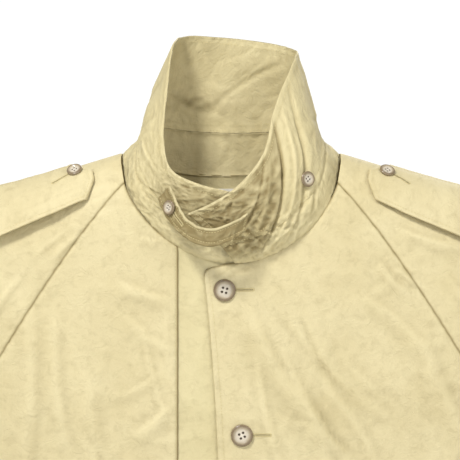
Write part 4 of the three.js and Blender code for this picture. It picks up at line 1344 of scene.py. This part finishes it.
tab_threads, tab_gaps = Threads("throat_tab_stitches"), Threads("throat_tab_slit")
for edge in ("top", "bottom"):
    sew(tab_threads, throat_tab, edge, TAB_STITCH, pitch=2.8)
for share in (0.03, 0.05):
    c, r, o, _ = tab_frame(np.full(9, share))
    across = np.linspace(-6, 6, 9)[:, None]
    pts = np.array([throat_tab.hit(q, m) for q, m in zip(c + r * across, o)])
    tab_threads.run(pts, o, pitch=2.4, length=1.9)
c, _, o, _ = tab_frame(np.array([0.68, 0.86]))
buttonhole(tab_threads, tab_gaps, throat_tab, c[0] + o[0], c[1] + o[1])

sleeve_threads = {}
for word, shell in sleeves.items():
    made = Threads(f"{word}_stitches")
    sew(made, shell, "bottom", CUFF_STITCH, pitch=COARSE)
    sleeve_threads[word] = made
pocket_threads = {}
for word, shell in welts.items():
    made = Threads(f"{word}_pocket_stitches")
    for edge in ("start", "top", "bottom", "end"):
        sew(made, shell, edge, STITCH_IN, pitch=COARSE)
    pocket_threads[word] = made

# ---- buttons


def button(name, diameter, centre, normal, turn=0.0):
    """A four-hole shell button with a dished middle, standing on its thread shank."""
    r = diameter / 2
    share = np.r_[
        np.linspace(0, 0.12, 3), np.linspace(0.14, 0.46, 13), 0.5, 0.56, 0.62, 0.66, 0.7, 0.76, 0.82, 0.88,
        0.93, 0.965, 0.99, 1.0,
    ]
    around = 72
    angle = np.arange(around) / around * 2 * math.pi
    ss, aa = np.meshgrid(share, angle, indexing="ij")
    x, y = ss * r * np.cos(aa), ss * r * np.sin(aa)
    z = np.interp(ss, [0, 0.5, 0.6, 0.7, 0.8, 0.9, 0.96, 1], [2.1, 2.1, 2.25, 2.75, 3.0, 2.85, 2.4, 1.7])
    pit = np.zeros_like(z)
    for k in range(4):
        hole = math.pi / 4 + k * math.pi / 2
        d = np.hypot(x - r * 0.27 * math.cos(hole), y - r * 0.27 * math.sin(hole))
        z = z - 1.5 * (1 - smooth(d, r * 0.07, r * 0.12))
        pit = np.maximum(pit, 1 - smooth(d, r * 0.08, r * 0.14))
    top = np.stack([x, y, z], -1).reshape(-1, 3)
    under_share = np.array([0.97, 0.85, 0.5, 0.16])
    us, ua = np.meshgrid(under_share, angle, indexing="ij")
    under_z = np.interp(us, [0.16, 0.85, 0.97], [0, 0.1, 0.7])
    under = np.stack([us * r * np.cos(ua), us * r * np.sin(ua), under_z], -1)
    rings = len(share) + len(under_share)
    verts = np.vstack([top, under.reshape(-1, 3)])
    faces = []
    for i in range(rings - 1):
        for j in range(around):
            k = (j + 1) % around
            faces.append([i * around + j, (i + 1) * around + j, (i + 1) * around + k, i * around + k])
    faces.append([(rings - 1) * around + j for j in range(around)][::-1])
    n = unit(np.array(normal, float))
    side = unit(np.cross(n, [0, 0, 1.0]))
    up = np.cross(side, n)
    c, s = math.cos(turn), math.sin(turn)
    side, up = side * c + up * s, up * c - side * s
    placed = verts[:, :1] * side + verts[:, 1:2] * up + verts[:, 2:] * n + np.array(centre)
    radius = np.hypot(verts[:, 0], verts[:, 1]) / r
    at = verts * MM + [diameter * 0.011, turn * 0.3, 0]
    return mesh_object(name, placed, faces, [pearl], {
        "radius_share": radius, "cloth_at": at, "pit": np.r_[pit.ravel(), np.zeros(len(verts) - pit.size)],
    })


def shank(threads, centre, normal, drop):
    """The wound thread under a button."""
    n = unit(np.array(normal, float))
    side = unit(np.cross(n, [0.2, 0, 1.0]))
    up = np.cross(side, n)
    for k in range(6):
        angle = k * math.pi / 3
        round_it = side * math.cos(angle) + up * math.sin(angle)
        c = centre + round_it * 1.1 - n * drop / 2
        threads.stitch(c[None], n, round_it, drop + 0.8, 0.7)


sewn = {"coat": Threads("button_shanks"), "left_forearm": Threads("left_cuff_shank"),
        "right_forearm": Threads("right_cuff_shank")}


def carry_button(made, body, node):
    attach(made, body)
    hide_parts(node)


def place_button(name, node, body, diameter, shell, x, z, gap, drop, mirror=False, turn=0.2):
    p, n = near_face(x, z, mirror=mirror)
    top = shell.hit(p, n)
    centre = top + n * gap
    carry_button(button(name, diameter, centre, n, turn), body, node)
    shank(sewn[body], centre, n, drop)


for k, z in enumerate(BUTTON_Z):
    place_button(f"front_pearl_button_{k + 1}", f"front_button_{k + 1}", "coat", FRONT_BUTTON, left_front,
                 button_x(z), z, 0.5, 3.6, turn=0.25 + 0.9 * k)
for word in ("left", "right"):
    mirror = word == "right"
    place_button(f"{word}_strap_pearl_button", f"{word}_strap_button", "coat", SMALL_BUTTON, straps[word],
                 *STRAP_BUTTON, 0.5, 6, mirror=mirror, turn=0.4 if mirror else 1.1)
    x, z = on_sleeve(cuff_middle, 0.66)
    place_button(f"{word}_cuff_pearl_button", f"{word}_cuff_button", f"{word}_forearm", SMALL_BUTTON,
                 cuff_tabs[word], x, z, 0.5, 4, mirror=mirror, turn=0.6)
c, _, o, _ = tab_frame(np.array([0.87]))
made = button("throat_pearl_button", THROAT_BUTTON, throat_tab.hit(c[0], o[0]) + o[0] * 0.4, o[0], 0.5)
shank(sewn["coat"], c[0] + o[0], o[0], 6)
carry_button(made, "coat", "throat_button")
spare_n = collar_normal(np.array([SPARE[0]]), np.array([SPARE[1]]))[0]
spare_p = collar_fall.hit(collar_at(np.array([SPARE[0]]), np.array([SPARE[1]]))[0], spare_n, 8)
made = button("spare_pearl_button", SMALL_BUTTON, spare_p + spare_n * 1.2, spare_n, 0.9)
shank(sewn["coat"], spare_p + spare_n * 1.2, spare_n, 1.6)
carry_button(made, "coat", "spare_tab_button")

# ---- what each piece moves with


def point(x, y, z):
    return tuple(float(v) for v in (np.array([x, y, z]) + SHIFT) * MM)


def hold(shell, body, nodes, threads=()):
    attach(shell.obj, body)
    finish_piece(nodes, threads, lambda o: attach(o, body))


def join(shell, a, b, start, end, nodes, slot, threads=()):
    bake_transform(shell.obj)
    finish_piece(nodes, threads, lambda o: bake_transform(o))


def finish_piece(nodes, threads, carry):
    """Hides the imported parts that the piece stands for, and makes its stitches move with it."""
    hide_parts(*nodes)
    for made, material in threads:
        if made.count:
            obj = made.build(material)
            carry(obj)


SKIRT = (point(0, 0, SKIRT_Z + 45), point(0, 0, SKIRT_Z - 45))
join(left_front, "coat", "left_skirt", *SKIRT, ["left_front", "left_front_skirt"], "shell_cloth",
     [(front_threads, thread), (front_gaps, dark_gap)])
join(left_facing, "coat", "left_skirt", *SKIRT, ["left_facing", "left_facing_skirt"], "inner_cloth")
hold(right_front, "coat", ["right_front"])
hold(button_stand, "coat", ["button_stand"])
for piece, node in zip(back_pieces, ("left_back", "right_back")):
    hold(piece, "coat", [node])
for word, shell in sleeves.items():
    hand = word.split("_")[0]
    sign = 1 if hand == "left" else -1
    elbow = on_sleeve(ELBOW, 0.5)
    reach = 62
    start = point(sign * (elbow[0] - sleeve_down[0] * reach), 0, elbow[1] - sleeve_down[1] * reach)
    end = point(sign * (elbow[0] + sleeve_down[0] * reach), 0, elbow[1] + sleeve_down[1] * reach)
    join(shell, "coat", f"{hand}_forearm", start, end, [word, word + "_lower"], "shell_cloth",
         [(sleeve_threads[word], thread)])
hold(collar_stand, "coat", ["collar_stand"])
hold(collar_fall, "coat", ["collar_fall"], [(coat_threads, thread)])
hold(throat_tab, "tab", ["throat_tab"], [(tab_threads, thread), (tab_gaps, dark_gap)])
for word in ("left", "right"):
    hold(straps[word], f"{word}_strap", [f"{word}_shoulder_strap"],
         flap_threads["strap", word])
    hold(cuff_tabs[word], f"{word}_cuff_flap", [f"{word}_cuff_tab"],
         flap_threads["cuff", word])
    pocket_body = "left_skirt" if word == "left" else "coat"
    hold(welts[word], pocket_body, [f"{word}_pocket_welt"], [(pocket_threads[word], thread)])
    hold(bags[word], pocket_body, [f"{word}_pocket_bag"])
hold(neck_facing, "coat", ["back_neck_facing"])
hold(label, "coat", ["label"])
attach(hanger.obj, "coat")
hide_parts("hanger_loop")
for body, made in sewn.items():
    obj = made.build(thread)
    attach(obj, body)

# ---- room, light and camera

low, high = cad_box
floor_z = low[2] - 0.004
floor_mesh = bpy.data.meshes.new("floor")
reach = 9.0
floor_mesh.from_pydata(
    [(-reach, -reach, floor_z), (reach, -reach, floor_z), (reach, reach, floor_z), (-reach, reach, floor_z)],
    [], [(0, 1, 2, 3)],
)
floor = bpy.data.objects.new("floor", floor_mesh)
bpy.context.scene.collection.objects.link(floor)
floor_paint, tree, shader = node_material("pale_floor")
floor_at = tree.nodes.new("ShaderNodeNewGeometry").outputs["Position"]
away = tree.nodes.new("ShaderNodeVectorMath")
away.operation = "LENGTH"
feed(tree, away, {0: floor_at})
fade = {"From Min": 1.3, "From Max": 4.5, "To Min": 0.0, "To Max": 0.6, "Value": away.outputs["Value"]}
feed(tree, shader, {
    "Base Color": (0.86, 0.86, 0.85, 1),
    "Roughness": 0.9,
    "Emission Color": (1, 1, 1, 1),
    "Emission Strength": add(tree, "ShaderNodeMapRange", fade).outputs[0],
})
floor_mesh.materials.append(floor_paint)

world = bpy.data.worlds.new("studio")
world.use_nodes = True
bpy.context.scene.world = world
tree = world.node_tree
soft = tree.nodes["Background"]
feed(tree, soft, {"Color": (1.0, 0.995, 0.985, 1), "Strength": 0.43})
white = add(tree, "ShaderNodeBackground", {"Color": (1, 1, 1, 1), "Strength": 1.05})
seen = tree.nodes.new("ShaderNodeLightPath").outputs["Is Camera Ray"]
choose = add(tree, "ShaderNodeMixShader", {0: seen, 1: soft.outputs[0], 2: white.outputs[0]})
feed(tree, tree.nodes["World Output"], {"Surface": choose.outputs[0]})


def area_light(name, place, aim, size, power):
    data = bpy.data.lights.new(name, "AREA")
    data.shape = "DISK"
    data.size = size
    data.energy = power
    obj = bpy.data.objects.new(name, data)
    bpy.context.scene.collection.objects.link(obj)
    obj.location = place
    obj.rotation_mode = "QUATERNION"
    obj.rotation_quaternion = (Vector(aim) - Vector(place)).to_track_quat("-Z", "Y")
    return obj


chest = (0, -0.06, -0.15)
area_light("key", (-0.85, -1.7, 1.55), chest, 0.5, 46)
area_light("fill", (1.3, -2.0, 0.5), chest, 1.4, 13)
area_light("back", (0.6, 2.0, 1.2), chest, 1.6, 22)

camera_data = bpy.data.cameras.new("camera")
camera_data.type = "PERSP"
camera_data.sensor_width = 36
AWAY = 2.6
camera_data.lens = 36 * AWAY / 0.462
camera = bpy.data.objects.new("camera", camera_data)
bpy.context.scene.collection.objects.link(camera)
camera.location = (-0.001, low[1] + 0.03 - AWAY, -0.064)
camera.rotation_euler = (math.pi / 2, 0, 0)
bpy.context.scene.camera = camera
bpy.context.scene.view_settings.view_transform = "Standard"
